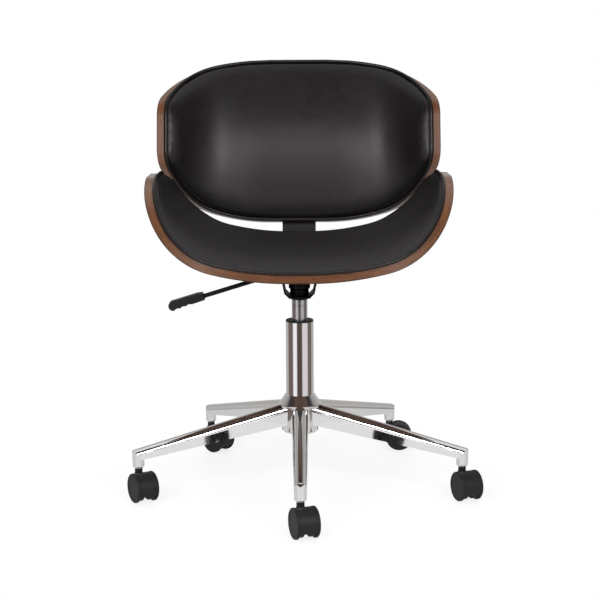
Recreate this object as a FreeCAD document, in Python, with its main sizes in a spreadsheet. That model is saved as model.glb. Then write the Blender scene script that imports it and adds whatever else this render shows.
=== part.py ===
import FreeCAD, Part
import os
import re
import Sketcher

# Armless swivel chair: a five-star base on twin-wheel casters, a gas lift, and two bent plywood
# panels with upholstered faces. Millimetres, +Z up, origin on the floor under the column,
# the sitter faces -Y.

doc = FreeCAD.newDocument("armless_office_chair")
sheet = doc.addObject("Spreadsheet::Sheet", "Sizes")
Vector = FreeCAD.Vector
names = []
sizes = {
    # Base and hub
    "base_radius": 300,  # caster stem circle radius
    "leg_count": 5,  # legs, one caster each
    "socket_bottom": 58,  # height of the leg sockets' lower faces
    "socket_diameter": 21.5,  # outer diameter of a leg's end socket
    "socket_chamfer": 1.6,  # bevel round the socket's lower rim
    "leg_root_width": 29.5,  # leg width at the hub
    "leg_root_top": 152,  # leg top at the hub
    "leg_root_bottom": 113.5,  # leg lower edge at the hub
    "leg_tip_top": 90.8,  # leg top at the socket
    "leg_tip_bottom": 71.5,  # leg lower edge at the socket
    "leg_wall": 2.6,  # wall of the leg channel
    "nose_radius": 9,  # rounding of a leg's end over its socket
    "hub_bottom": 99,  # hub lower face
    "hub_shoulder": 149,  # height where the collar cone starts
    "hub_top": 167,  # collar upper rim
    "hub_radius": 33,  # hub barrel radius
    "collar_radius": 38.5,  # collar cone radius at its lower edge
    "collar_top_radius": 27,  # collar cone radius at its rim
    "seat_fit": 0.05,  # clearance of pressed tapers and bores
    "run_fit": 0.08,  # clearance of turning and sliding fits
    # Gas lift
    "tube_radius": 25,  # column tube outer radius
    "tube_foot_radius": 23.8,  # column tube radius at the foot of its taper
    "tube_wall": 1.6,  # column tube wall
    "tube_bottom": 96,  # column tube lower face
    "tube_floor": 3,  # column tube floor thickness
    "tube_top": 301,  # column tube upper rim
    "bush_length": 60,  # guide bush length inside the tube
    "bush_flange": 3.2,  # guide bush flange height above the tube
    "rod_radius": 5,  # piston rod radius
    "rod_groove": 1,  # depth of the clip groove in the rod
    "cylinder_radius": 14,  # gas cylinder outer radius
    "cylinder_bore": 12,  # gas cylinder bore radius
    "cylinder_bottom": 121,  # gas cylinder lower end, seat lowest
    "cylinder_drop": 17.5,  # gas cylinder upper end below the seat panel
    "cylinder_tip_radius": 13,  # gas cylinder radius at the top of its taper
    "cylinder_groove": 330,  # height of the fine groove under the taper
    "guide_length": 14,  # rod guide length in the cylinder
    "lift_stroke": 100,  # seat height travel
    "piston_length": 12,  # piston length
    "bearing_radius": 9.5,  # ball circle radius of the thrust bearing
    "ball_radius": 2,  # thrust ball radius
    "race_height": 2,  # thrust race thickness
    "bump_length": 11,  # rubber stop length
    "loose_gap": 0.35,  # gap between pieces that only pass each other
    "button_radius": 4,  # release button radius
    # Casters
    "wheel_radius": 26,  # wheel flange radius
    "drum_radius": 23.4,  # wheel drum radius under the hood
    "wheel_inner": 6.2,  # wheel inner face from the caster's middle
    "wheel_outer": 19.8,  # wheel outer face from the caster's middle
    "flange_width": 5.2,  # wheel flange width
    "caster_trail": 19,  # axle offset from the stem
    "axle_radius": 3,  # axle radius
    "axle_half": 17.6,  # half the axle length
    "hood_radius": 25.6,  # hood outer radius about the axle
    "hood_wall": 1.6,  # hood thickness
    "hood_front_angle": 30,  # hood reach below the axle at its front
    "hood_rear_angle": 137,  # hood reach over the top, from its front
    "web_half": 5.6,  # half thickness of the web between the wheels
    "boss_radius": 6.8,  # hood boss radius round the stem
    "boss_top": 55.6,  # hood boss upper face
    "stem_radius": 5.5,  # stem radius in the leg socket
    "stem_pin_radius": 4,  # stem radius in the hood boss
    "stem_height": 25,  # stem length inside the socket
    "collar_height": 2,  # stem collar thickness
    "stem_collar_radius": 7.6,  # stem collar radius
    # Seat panel
    "ply": 14,  # plywood thickness of both panels
    "seat_bottom": 403,  # height of the seat panel's underside
    "seat_front": -225,  # seat panel front edge
    "seat_rear": 235,  # seat panel rear edge
    "seat_flat": 17.5,  # half width of the seat's flat middle
    "seat_sweep": 591,  # radius of the seat's shallow curve
    "seat_sweep_angle": 12.5,  # angle of the seat's shallow curve
    "seat_turn": 136,  # radius of the seat's upturned sides
    "seat_tip_angle": 90,  # angle of the seat's wing tips
    "seat_run_out": 34,  # straight run above the upturn before trimming
    "seat_wing": 161,  # wing tip height above the underside
    "seat_wing_radius": 130,  # wing tip rounding
    "seat_wing_angle": 43.4,  # slope of the wing's front and rear edges
    "seat_pad_mid": 28,  # seat pad thickness in the middle
    "seat_pad_shoulder": 23,  # seat pad thickness near the front and rear
    "seat_pad_edge": 9,  # seat pad thickness at the front and rear
    "seat_pad_tip": 9,  # seat pad thickness at the wing tips
    "seat_pad_angle": 9.8,  # angle of the seat pad's shallow curve
    # Back panel, in a frame of its own: along the panel upwards, and forwards off its rear face
    "back_y": 265,  # rear lower edge of the back, front to rear
    "back_z": 449,  # rear lower edge of the back, height
    "back_lean": 14,  # lean of the back
    "back_start": 0,  # lower edge of the back
    "back_height": 316.5,  # length of the back along its lean
    "back_flat": 53.5,  # half width of the back's flat middle
    "back_sweep": 409,  # radius of the back's shallow curve
    "back_sweep_angle": 15,  # angle of the back's shallow curve
    "back_turn": 136,  # radius of the back's turned sides
    "back_tip_angle": 75,  # angle of the back's side edges
    "back_run_out": 22,  # straight run past the turn before trimming
    "back_wing": 120,  # reach of the sides off the rear face
    "back_wing_radius": 55,  # rounding of the back's side edges
    "back_wing_angle": 44.5,  # slope of the back's upper and lower edges
    "back_pad_mid": 28,  # back pad thickness in the middle
    "back_pad_shoulder": 24,  # back pad thickness near its ends
    "back_pad_edge": 9,  # back pad thickness at its ends
    "back_pad_tip": 12,  # back pad thickness at the sides
    "back_pad_angle": 13,  # angle of the back pad's shallow curve
    # Upholstery
    "seat_welt_inset": -4.5,  # seat welt set back from the panel's edge, negative when it overhangs
    "back_welt_inset": 0,  # back welt set back from the panel's edge
    "back_pad_rise": 2,  # cover of the back set higher than its panel
    "welt_width": 6.5,  # welt width and height
    "pad_rounding": 12,  # rounding of the pads' upper rim
    "pad_to_welt": 0.3,  # pad clearance inside the welt
    "pad_gap": 0.25,  # pad and welt clearance over the panel
    # Seat mechanism
    "plate_drop": 3,  # gap between seat plate and panel, filled by spacers
    "plate_thickness": 3,  # seat plate thickness
    "plate_width": 126,  # seat plate width
    "plate_length": 176,  # seat plate length
    "plate_corner": 14,  # seat plate corner radius
    "bolt_span_x": 48,  # plate bolt offset across
    "bolt_span_y": 70,  # plate bolt offset along
    "bolt_radius": 3,  # bolt shank radius
    "bolt_head_radius": 5.5,  # bolt head radius
    "bolt_head_height": 3.6,  # bolt head height
    "spacer_radius": 10,  # spacer radius
    "nut_barrel": 4,  # tee nut barrel radius
    "nut_flange": 9.5,  # tee nut flange radius
    "nut_flange_height": 1.6,  # tee nut flange thickness
    "socket_drop": 22,  # taper socket upper end below the seat panel
    "socket_length": 40,  # taper socket height
    "socket_wall_radius": 16.8,  # taper socket outer radius
    "socket_rib_radius": 19.3,  # taper socket rib radius
    "channel_drop": 57,  # channel web underside below the seat panel
    "channel_foot_half": 25.3,  # half the channel width at the web
    "channel_head_half": 35.5,  # half the channel width at the plate
    "channel_sheet": 2.8,  # channel sheet thickness
    "channel_length": 58,  # channel length front to rear
    "pivot_x": 24,  # lever pivot offset from the column
    "pivot_drop": 10.6,  # lever pivot below the seat panel
    "pivot_radius": 2.5,  # lever pivot pin radius
    "eye_radius": 4.2,  # lever eye radius
    "lever_slope": 17,  # droop of the lever
    "lever_radius": 4,  # lever rod radius
    "lever_length": 214,  # lever rod length from the pivot
    "blade_thickness": 3,  # lever blade thickness
    "blade_width": 12,  # lever blade width
    "grip_length": 66,  # lever grip length
    "grip_height": 17,  # lever grip height
    "grip_width": 20,  # lever grip width
    # Back bracket
    "bracket_width": 65,  # bracket strip width
    "bracket_thickness": 6,  # bracket strip thickness
    "bracket_start": 98,  # bracket front end under the seat
    "bracket_bend": 22,  # bracket bend radius at mid thickness
    "bracket_reach": 122,  # bracket reach up the back
    "bracket_bolt_x": 17,  # bracket bolt offset across
    "bracket_bolt_front": 122,  # bracket front bolts under the seat
    "bracket_bolt_rear": 176,  # bracket rear bolts under the seat
    "bracket_bolt_low": 44,  # bracket lower bolts up the back
    "bracket_bolt_high": 98,  # bracket upper bolts up the back
}


def enter(alias, text):
    row = str(len(names) + 1)
    sheet.set("A" + row, alias)
    sheet.set("B" + row, text)
    sheet.setAlias("B" + row, alias)
    names.append(alias)


for alias, value in sizes.items():
    enter(alias, str(value))
doc.recompute()


def bind(text):
    # Turns a formula on size names into one that other objects can read.
    return re.sub(r"[a-z_]+[a-z0-9_]*", lambda m: ("Sizes." if m.group(0) in names else "") + m.group(0), text)


def number(text):
    result = sheet.evalExpression(text)
    return float(getattr(result, "Value", result))


def derived(alias, text):
    enter(alias, "=" + text)
    sheet.recompute()
    return alias


def new_body(label, placement=None):
    body = doc.addObject("PartDesign::Body", label)
    body.Label = label
    if placement is not None:
        body.Placement = placement
    return body


def fix(sketch, geo, pos, x, y):
    # Ties one point of a sketch to the origin by two formulas.
    for kind, text in (("DistanceX", x), ("DistanceY", y)):
        index = sketch.addConstraint(Sketcher.Constraint(kind, -1, 1, geo, pos, number(text)))
        sketch.setExpression("Constraints[%d]" % index, bind(text))


def add_circle(sketch, x, y, radius):
    circle = Part.Circle(Vector(number(x), number(y), 0), Vector(0, 0, 1), number(radius))
    geo = sketch.addGeometry(circle)
    fix(sketch, geo, 3, x, y)
    index = sketch.addConstraint(Sketcher.Constraint("Radius", geo, number(radius)))
    sketch.setExpression("Constraints[%d]" % index, bind(radius))


def add_path(sketch, steps, closed=True):
    # A step is (x, y) for a straight run to that corner, or (x, y, radius, side) for an arc to it,
    # with its centre on the left (side 1) or right (side -1) of the chord.
    corners = [Vector(number(step[0]), number(step[1]), 0) for step in steps]
    count = len(steps)
    runs = []
    for i in range(count if closed else count - 1):
        a = corners[i]
        b = corners[(i + 1) % count]
        step = steps[(i + 1) % count]
        if len(step) == 2:
            runs.append((sketch.addGeometry(Part.LineSegment(a, b)), 1, 2))
            continue
        radius = number(step[2])
        chord = b - a
        rise = max(radius ** 2 - (chord.Length / 2) ** 2, 0.0) ** 0.5
        across = Vector(-chord.y, chord.x, 0) / chord.Length
        centre = (a + b) / 2 + across * (rise * step[3])
        circle = Part.Circle(centre, Vector(0, 0, 1), radius)
        first, last = (a, b) if step[3] > 0 else (b, a)
        arc = Part.ArcOfCircle(circle, circle.parameter(first), circle.parameter(last))
        geo = sketch.addGeometry(arc)
        runs.append((geo, 1, 2) if step[3] > 0 else (geo, 2, 1))
        index = sketch.addConstraint(Sketcher.Constraint("Radius", geo, radius))
        sketch.setExpression("Constraints[%d]" % index, bind(step[2]))
    for i, (geo, start, end) in enumerate(runs):
        fix(sketch, geo, start, steps[i][0], steps[i][1])
        if closed or i + 1 < len(runs):
            follow = runs[(i + 1) % len(runs)]
            sketch.addConstraint(Sketcher.Constraint("Coincident", geo, end, follow[0], follow[1]))
        else:
            fix(sketch, geo, end, steps[i + 1][0], steps[i + 1][1])


def new_sketch(body, plane, offset="0", paths=(), circles=()):
    sketch = body.newObject("Sketcher::SketchObject", "outline")
    origin = [item for item in body.Origin.OriginFeatures if item.Role == plane][0]
    sketch.AttachmentSupport = [(origin, "")]
    sketch.MapMode = "FlatFace"
    sketch.AttachmentOffset = FreeCAD.Placement(Vector(0, 0, number(offset)), FreeCAD.Rotation())
    sketch.setExpression("AttachmentOffset.Base.z", bind(offset))
    for path in paths:
        add_path(sketch, path)
    for circle in circles:
        add_circle(sketch, *circle)
    return sketch


def extrude(body, kind, sketch, length, way="up"):
    # way: up along the sketch's normal, down against it, or both for equal halves.
    feature = body.newObject("PartDesign::" + kind, kind.lower())
    feature.Profile = sketch
    feature.Length = number(length)
    feature.setExpression("Length", bind(length))
    feature.SideType = "Symmetric" if way == "both" else "One side"
    feature.Reversed = way == "down"
    body.Tip = feature
    return feature


def pad(body, sketch, length, way="up"):
    return extrude(body, "Pad", sketch, length, way)


def pocket(body, sketch, length, way="both"):
    return extrude(body, "Pocket", sketch, length, way)


def revolve(body, sketch, axis="V_Axis"):
    feature = body.newObject("PartDesign::Revolution", "turned")
    feature.Profile = sketch
    feature.ReferenceAxis = (sketch, [axis])
    feature.Angle = 360
    body.Tip = feature
    return feature


def loft(body, sketches, kind="AdditiveLoft"):
    feature = body.newObject("PartDesign::" + kind, "loft")
    feature.Profile = sketches[0]
    feature.Sections = sketches[1:]
    feature.Ruled = False
    body.Tip = feature
    return feature


def polar(body, features, count):
    pattern = body.newObject("PartDesign::PolarPattern", "ring")
    pattern.Originals = features
    axis = [item for item in body.Origin.OriginFeatures if item.Role == "Z_Axis"][0]
    pattern.Axis = (axis, [""])
    pattern.Angle = 360
    pattern.Occurrences = int(number(count))
    pattern.setExpression("Occurrences", bind(count))
    body.Tip = pattern
    return pattern


def turned(label, steps, placement=None):
    # A body of revolution about its own Z axis from a half profile of (radius, height) corners.
    body = new_body(label, placement)
    revolve(body, new_sketch(body, "XZ_Plane", paths=[steps]))
    return body


parts = []

# Star base: barrel hub with a conical collar, five tapered legs pressed as inverted channels,
# each ending in a vertical socket for a caster stem.
derived("leg_top_fall", "(leg_root_top - leg_tip_top) / (base_radius - hub_radius)")
derived("leg_low_fall", "(leg_root_bottom - leg_tip_bottom) / (base_radius - hub_radius)")
derived("leg_width_fall", "(leg_root_width - socket_diameter) / (base_radius - hub_radius)")
derived("socket_radius", "socket_diameter / 2")
derived("barrel_radius", "socket_radius - 0.3")
derived("stem_bore", "stem_radius + 0.25")
sheet.recompute()


def leg_section(body, reach, wall, low):
    # The leg's round-topped section at one reach from the column, drawn in by a wall thickness.
    half = "((leg_root_width - leg_width_fall * (%s - hub_radius)) / 2 - %s)" % (reach, wall)
    top = "(leg_root_top - leg_top_fall * (%s - hub_radius) - %s)" % (reach, wall)
    foot = "(leg_root_bottom - leg_low_fall * (%s - hub_radius) - %s)" % (reach, low)
    steps = [
        ("-" + half, foot),
        (half, foot),
        (half, top + " - " + half),
        ("0", top, half, 1),
        ("-" + half, top + " - " + half, half, 1),
    ]
    return new_sketch(body, "XZ_Plane", reach, [steps])


base = new_body("star_base")
hub = [
    ("tube_foot_radius + seat_fit", "hub_bottom"),
    ("hub_radius - 3", "hub_bottom"),
    ("hub_radius", "hub_bottom + 3"),
    ("hub_radius - 1.5", "hub_shoulder - 3"),
    ("collar_radius", "hub_shoulder"),
    ("collar_radius", "hub_shoulder + 1.5"),
    ("collar_top_radius", "hub_top"),
    ("tube_radius + seat_fit", "hub_top"),
]
revolve(base, new_sketch(base, "XZ_Plane", paths=[hub]))
leg = loft(base, [
    leg_section(base, "(hub_radius - 6)", "0", "0"),
    leg_section(base, "(base_radius + 14)", "0", "0"),
])
trim = new_sketch(base, "XY_Plane", paths=[[
    ("-20", "-base_radius"),
    ("-socket_radius", "-base_radius"),
    ("0", "-base_radius - socket_radius", "socket_radius", 1),
    ("socket_radius", "-base_radius", "socket_radius", 1),
    ("20", "-base_radius"),
    ("20", "-base_radius - 24"),
    ("-20", "-base_radius - 24"),
]])
trimmed = pocket(base, trim, "hub_top * 2", "both")
end = "-base_radius - socket_radius"
brow = "leg_tip_top - leg_top_fall * socket_radius"
nose = new_sketch(base, "YZ_Plane", paths=[[
    (end + " - 3", brow + " - nose_radius"),
    (end, brow + " - nose_radius"),
    (end + " + nose_radius", brow + " + leg_top_fall * nose_radius", "nose_radius", -1),
    (end + " + nose_radius", brow + " + 14"),
    (end + " - 3", brow + " + 14"),
]])
rounded = pocket(base, nose, "60", "both")
tip = new_sketch(base, "XZ_Plane", "base_radius", [[
    ("0", "socket_bottom"),
    ("barrel_radius - socket_chamfer", "socket_bottom"),
    ("barrel_radius", "socket_bottom + socket_chamfer"),
    ("barrel_radius", "leg_tip_bottom + 6"),
    ("0", "leg_tip_bottom + 6"),
]])
socket = revolve(base, tip)
hollow = loft(base, [
    leg_section(base, "(hub_radius + 5)", "leg_wall", "4"),
    leg_section(base, "(base_radius - socket_radius - leg_wall)", "leg_wall", "4"),
], "SubtractiveLoft")
bore = new_sketch(base, "XY_Plane", "socket_bottom", circles=[("0", "-base_radius", "stem_bore")])
bored = pocket(base, bore, "stem_height + 1", "down")
polar(base, [leg, trimmed, rounded, socket, hollow, bored], "leg_count")
parts.append(base)

# Caster stems stand in the leg sockets, held by spring rings; the hoods turn on their lower pins.
stems = new_body("caster_stems")
stem = new_sketch(stems, "XZ_Plane", "base_radius", [[
    ("0", "boss_top - 16"),
    ("stem_pin_radius - 0.6", "boss_top - 16"),
    ("stem_pin_radius", "boss_top - 15.4"),
    ("stem_pin_radius", "socket_bottom - collar_height"),
    ("stem_collar_radius - 0.5", "socket_bottom - collar_height"),
    ("stem_collar_radius", "socket_bottom - collar_height + 0.5"),
    ("stem_collar_radius", "socket_bottom"),
    ("stem_radius", "socket_bottom"),
    ("stem_radius", "socket_bottom + 14"),
    ("stem_radius - 0.8", "socket_bottom + 14"),
    ("stem_radius - 0.8", "socket_bottom + 18"),
    ("stem_radius", "socket_bottom + 18"),
    ("stem_radius", "socket_bottom + stem_height - 1.5"),
    ("stem_radius - 1.5", "socket_bottom + stem_height"),
    ("0", "socket_bottom + stem_height"),
]])
polar(stems, [revolve(stems, stem)], "leg_count")
parts.append(stems)

rings = new_body("caster_grip_rings")
ring = new_sketch(rings, "XZ_Plane", "base_radius", [[
    ("stem_radius - 0.75", "socket_bottom + 14.3"),
    ("stem_bore - 0.05", "socket_bottom + 14.3"),
    ("stem_bore - 0.05", "socket_bottom + 17.7"),
    ("stem_radius - 0.75", "socket_bottom + 17.7"),
]])
polar(rings, [revolve(rings, ring)], "leg_count")
parts.append(rings)

# Casters: each hood swings on its stem at its own angle, and carries an axle with two wheels.
caster_angles = [("front", 0, 19), ("left", -72, 29), ("rear_left", -144, 50),
                 ("rear_right", 144, 90), ("right", 72, 21)]
derived("hood_inner", "hood_radius - hood_wall")
derived("hood_half", "wheel_outer - flange_width - loose_gap")
sheet.recompute()


def on_hood(radius, angle):
    # A point on a circle about the axle; angles run from the hood's front over its top.
    return ("-caster_trail - (%s) * cos(%s)" % (radius, angle), "wheel_radius + (%s) * sin(%s)" % (radius, angle))


def arc_to(radius, angle, side):
    return on_hood(radius, angle) + (radius, side)


for place, direction, swing in caster_angles:
    spot = FreeCAD.Placement(Vector(), FreeCAD.Rotation(Vector(0, 0, 1), direction)).multVec(
        Vector(0, -number("base_radius"), 0))
    caster = FreeCAD.Placement(spot, FreeCAD.Rotation(Vector(0, 0, 1), swing))
    middle = caster.multiply(FreeCAD.Placement(
        Vector(0, -number("caster_trail"), number("wheel_radius")), FreeCAD.Rotation()))
    hood = new_body("caster_hood_" + place, caster)
    shell = [
        on_hood("hood_radius", "-hood_front_angle"),
        arc_to("hood_radius", "60", -1),
        arc_to("hood_radius", "hood_rear_angle", -1),
        on_hood("hood_inner", "hood_rear_angle"),
        arc_to("hood_inner", "60", 1),
        arc_to("hood_inner", "-hood_front_angle", 1),
    ]
    pad(hood, new_sketch(hood, "YZ_Plane", paths=[shell]), "hood_half * 2", "both")
    web = [
        on_hood("hood_inner + 0.5", "-hood_front_angle"),
        arc_to("hood_inner + 0.5", "60", -1),
        arc_to("hood_inner + 0.5", "120", -1),
        ("boss_radius - 0.6", "boss_top - 8"),
        ("boss_radius - 0.6", "boss_top - 17"),
        ("-3", "wheel_radius - 3"),
        ("-caster_trail + 5", "wheel_radius - 9"),
        ("-caster_trail - 6", "wheel_radius - 9"),
    ]
    pad(hood, new_sketch(hood, "YZ_Plane", paths=[web]), "web_half * 2", "both")
    boss = [
        ("0", "boss_top - 18"),
        ("boss_radius", "boss_top - 18"),
        ("boss_radius", "boss_top - 1"),
        ("boss_radius - 1", "boss_top"),
        ("0", "boss_top"),
    ]
    revolve(hood, new_sketch(hood, "XZ_Plane", paths=[boss]))
    for side, way in (("web_half", "down"), ("-web_half", "up")):
        drum_space = new_sketch(hood, "YZ_Plane", side, circles=[("-caster_trail", "wheel_radius", "hood_inner")])
        pocket(hood, drum_space, "hood_half", way)
    swivel = new_sketch(hood, "XY_Plane", "boss_top", circles=[("0", "0", "stem_pin_radius + run_fit")])
    pocket(hood, swivel, "16.5", "up")
    cross = new_sketch(hood, "YZ_Plane", circles=[("-caster_trail", "wheel_radius", "axle_radius + 0.01")])
    pocket(hood, cross, "web_half * 4", "both")
    parts.append(hood)
    axle = new_body("caster_axle_" + place, middle)
    pad(axle, new_sketch(axle, "YZ_Plane", circles=[("0", "0", "axle_radius")]), "axle_half * 2", "both")
    parts.append(axle)
    for side, sign in (("a", "-1"), ("b", "1")):
        wheel = new_body("caster_wheel_%s_%s" % (place, side), middle)
        rim = [
            ("wheel_inner", "axle_radius + run_fit"),
            ("wheel_inner", "drum_radius"),
            ("wheel_outer - flange_width", "drum_radius"),
            ("wheel_outer - flange_width", "wheel_radius - 0.4"),
            ("wheel_outer - flange_width + 0.4", "wheel_radius"),
            ("wheel_outer - 1.2", "wheel_radius"),
            ("wheel_outer", "wheel_radius - 1.2"),
            ("wheel_outer", "wheel_radius - 3.4"),
            ("wheel_outer - 0.6", "wheel_radius - 4"),
            ("wheel_outer - 0.6", "0"),
            ("axle_half + 0.4", "0"),
            ("axle_half + 0.4", "axle_radius + run_fit"),
        ]
        steps = [("%s * (%s)" % (sign, corner[0]), corner[1]) for corner in rim]
        revolve(wheel, new_sketch(wheel, "XZ_Plane", paths=[steps]), "H_Axis")
        parts.append(wheel)

# Gas lift: a tapered column tube in the hub, a guide bush at its top, and inside it a rod on a thrust
# bearing whose piston runs in the cylinder that carries the seat.
derived("tube_foot_bore", "tube_foot_radius - tube_wall")
derived("tube_bore", "tube_radius - tube_wall")
derived("floor_top", "tube_bottom + tube_floor")
derived("ball_height", "floor_top + race_height + ball_radius")
derived("upper_race", "ball_height + ball_radius + loose_gap")
derived("rod_shoulder", "upper_race + race_height")
derived("piston_bottom", "cylinder_bottom + guide_length + lift_stroke + 0.5")
sheet.recompute()
parts.append(turned("column_tube", [
    ("rod_radius + run_fit", "tube_bottom"),
    ("tube_foot_radius - 1", "tube_bottom"),
    ("tube_foot_radius", "tube_bottom + 1"),
    ("tube_radius", "hub_top"),
    ("tube_radius", "tube_top"),
    ("tube_bore", "tube_top"),
    ("tube_bore", "hub_top"),
    ("tube_foot_bore", "floor_top"),
    ("rod_radius + run_fit", "floor_top"),
]))
parts.append(turned("guide_bush", [
    ("cylinder_radius + run_fit", "tube_top - bush_length"),
    ("tube_bore - seat_fit", "tube_top - bush_length"),
    ("tube_bore - seat_fit", "tube_top"),
    ("tube_radius", "tube_top"),
    ("tube_radius", "tube_top + bush_flange - 1.2"),
    ("tube_radius - 1.2", "tube_top + bush_flange"),
    ("cylinder_radius + run_fit + 1.2", "tube_top + bush_flange"),
    ("cylinder_radius + run_fit", "tube_top + bush_flange - 1.2"),
]))
parts.append(turned("bearing_race_lower", [
    ("rod_radius + loose_gap", "floor_top"),
    ("bearing_radius + 3.5", "floor_top"),
    ("bearing_radius + 3.5", "floor_top + race_height"),
    ("rod_radius + loose_gap", "floor_top + race_height"),
]))
balls = new_body("bearing_balls")
ball = new_sketch(balls, "XZ_Plane", "bearing_radius", [[
    ("0", "ball_height - ball_radius"),
    ("ball_radius", "ball_height", "ball_radius", 1),
    ("0", "ball_height + ball_radius", "ball_radius", 1),
]])
polar(balls, [revolve(balls, ball)], "12")
parts.append(balls)
parts.append(turned("bearing_race_upper", [
    ("rod_radius + seat_fit", "upper_race"),
    ("bearing_radius + 3.5", "upper_race"),
    ("bearing_radius + 3.5", "rod_shoulder"),
    ("rod_radius + seat_fit", "rod_shoulder"),
]))
parts.append(turned("piston_rod", [
    ("0", "tube_bottom - 5"),
    ("rod_radius - 0.6", "tube_bottom - 5"),
    ("rod_radius", "tube_bottom - 4.4"),
    ("rod_radius", "tube_bottom - 2.6"),
    ("rod_radius - rod_groove", "tube_bottom - 2.6"),
    ("rod_radius - rod_groove", "tube_bottom - 0.9"),
    ("rod_radius", "tube_bottom - 0.9"),
    ("rod_radius", "rod_shoulder"),
    ("rod_radius + 3", "rod_shoulder"),
    ("rod_radius + 3", "rod_shoulder + 2"),
    ("rod_radius", "rod_shoulder + 2"),
    ("rod_radius", "piston_bottom"),
    ("rod_radius - 1", "piston_bottom"),
    ("rod_radius - 1", "piston_bottom + piston_length + 2"),
    ("0", "piston_bottom + piston_length + 2"),
]))
parts.append(turned("rod_clip", [
    ("rod_radius - rod_groove + seat_fit", "tube_bottom - 2.4"),
    ("rod_radius + 4", "tube_bottom - 2.4"),
    ("rod_radius + 4", "tube_bottom - 1"),
    ("rod_radius - rod_groove + seat_fit", "tube_bottom - 1"),
]))
parts.append(turned("bump_stop", [
    ("rod_radius + seat_fit", "rod_shoulder + 2"),
    ("cylinder_radius - 2.5", "rod_shoulder + 2"),
    ("cylinder_radius - 1", "rod_shoulder + 2 + bump_length / 2"),
    ("cylinder_radius - 2.5", "rod_shoulder + 2 + bump_length"),
    ("rod_radius + seat_fit", "rod_shoulder + 2 + bump_length"),
]))
parts.append(turned("piston", [
    ("rod_radius - 1 + seat_fit", "piston_bottom"),
    ("cylinder_bore - run_fit", "piston_bottom"),
    ("cylinder_bore - run_fit", "piston_bottom + piston_length"),
    ("rod_radius - 1 + seat_fit", "piston_bottom + piston_length"),
]))
derived("cylinder_top", "seat_bottom - cylinder_drop")
derived("socket_head", "seat_bottom - socket_drop")
derived("socket_foot", "socket_head - socket_length")
parts.append(turned("gas_cylinder", [
    ("cylinder_bore", "cylinder_bottom"),
    ("cylinder_radius - 0.8", "cylinder_bottom"),
    ("cylinder_radius", "cylinder_bottom + 0.8"),
    ("cylinder_radius", "cylinder_groove"),
    ("cylinder_radius - 0.35", "cylinder_groove + 0.4"),
    ("cylinder_radius - 0.35", "cylinder_groove + 1"),
    ("cylinder_radius", "cylinder_groove + 1.4"),
    ("cylinder_radius", "socket_foot"),
    ("cylinder_tip_radius", "cylinder_top - 1"),
    ("cylinder_tip_radius - 1", "cylinder_top"),
    ("button_radius + run_fit", "cylinder_top"),
    ("button_radius + run_fit", "cylinder_top - 12"),
    ("cylinder_bore", "cylinder_top - 16"),
]))
parts.append(turned("rod_guide", [
    ("rod_radius + run_fit", "cylinder_bottom + 0.2"),
    ("cylinder_bore - seat_fit", "cylinder_bottom + 0.2"),
    ("cylinder_bore - seat_fit", "cylinder_bottom + guide_length"),
    ("rod_radius + run_fit", "cylinder_bottom + guide_length"),
]))
derived("pivot_z", "seat_bottom - pivot_drop")
derived("button_top", "pivot_z - blade_thickness / 2 - 0.4")
sheet.recompute()
parts.append(turned("release_button", [
    ("0", "cylinder_top - 11"),
    ("button_radius - 0.5", "cylinder_top - 11"),
    ("button_radius", "cylinder_top - 10.5"),
    ("button_radius", "button_top - 1.4"),
    ("button_radius - 1.6", "button_top - 0.4"),
    ("0.8", "button_top"),
    ("0", "button_top"),
]))

# Seat mechanism: a sheet channel under a bolted plate, with the taper socket through its web.
derived("plate_top", "seat_bottom - plate_drop")
derived("plate_bottom", "plate_top - plate_thickness")
derived("plate_x", "plate_width / 2")
derived("plate_y", "plate_length / 2")
derived("bolt_hole", "bolt_radius + 0.4")
derived("pivot_hole", "pivot_radius + seat_fit")
sheet.recompute()
parts.append(turned("taper_socket", [
    ("cylinder_radius + seat_fit", "socket_foot"),
    ("socket_wall_radius - 2", "socket_foot"),
    ("socket_wall_radius", "socket_foot + 3"),
    ("socket_wall_radius", "socket_foot + 19"),
    ("socket_rib_radius", "socket_foot + 21"),
    ("socket_rib_radius", "socket_foot + 27"),
    ("socket_wall_radius + 1", "socket_foot + 28"),
    ("socket_wall_radius + 1", "socket_head"),
    ("cylinder_tip_radius + seat_fit + 0.11", "socket_head"),
]))
channel = new_body("swivel_channel")
derived("channel_bottom", "seat_bottom - channel_drop")
derived("channel_lean", "(channel_head_half - channel_foot_half) / (plate_bottom - channel_bottom)")
sheet.recompute()


def channel_side(sign, inset):
    # The channel's half section: sloping wall, rounded foot, flat web.
    half = "(channel_foot_half + channel_lean * 9 - %s)" % inset
    return [
        ("%s * (channel_head_half - %s)" % (sign, inset), "plate_bottom"),
        ("%s * %s" % (sign, half), "channel_bottom + 9"),
        ("%s * (%s - 9 + %s)" % (sign, half, inset), "channel_bottom + %s" % inset),
    ]


outer = channel_side("-1", "0") + channel_side("1", "0")[::-1]
inner = channel_side("1", "channel_sheet") + channel_side("-1", "channel_sheet")[::-1]
pad(channel, new_sketch(channel, "XZ_Plane", paths=[outer + inner]), "channel_length", "both")
pocket(channel, new_sketch(channel, "XY_Plane", circles=[("0", "0", "socket_wall_radius + seat_fit")]),
       "channel_bottom * 2 + 20", "both")
slot = new_sketch(channel, "YZ_Plane", "-channel_head_half - 4", [[
    ("-lever_radius - 2", "plate_bottom - 17"),
    ("lever_radius + 2", "plate_bottom - 17"),
    ("lever_radius + 2", "plate_bottom"),
    ("-lever_radius - 2", "plate_bottom"),
]])
pocket(channel, slot, "22", "down")
parts.append(channel)

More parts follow.
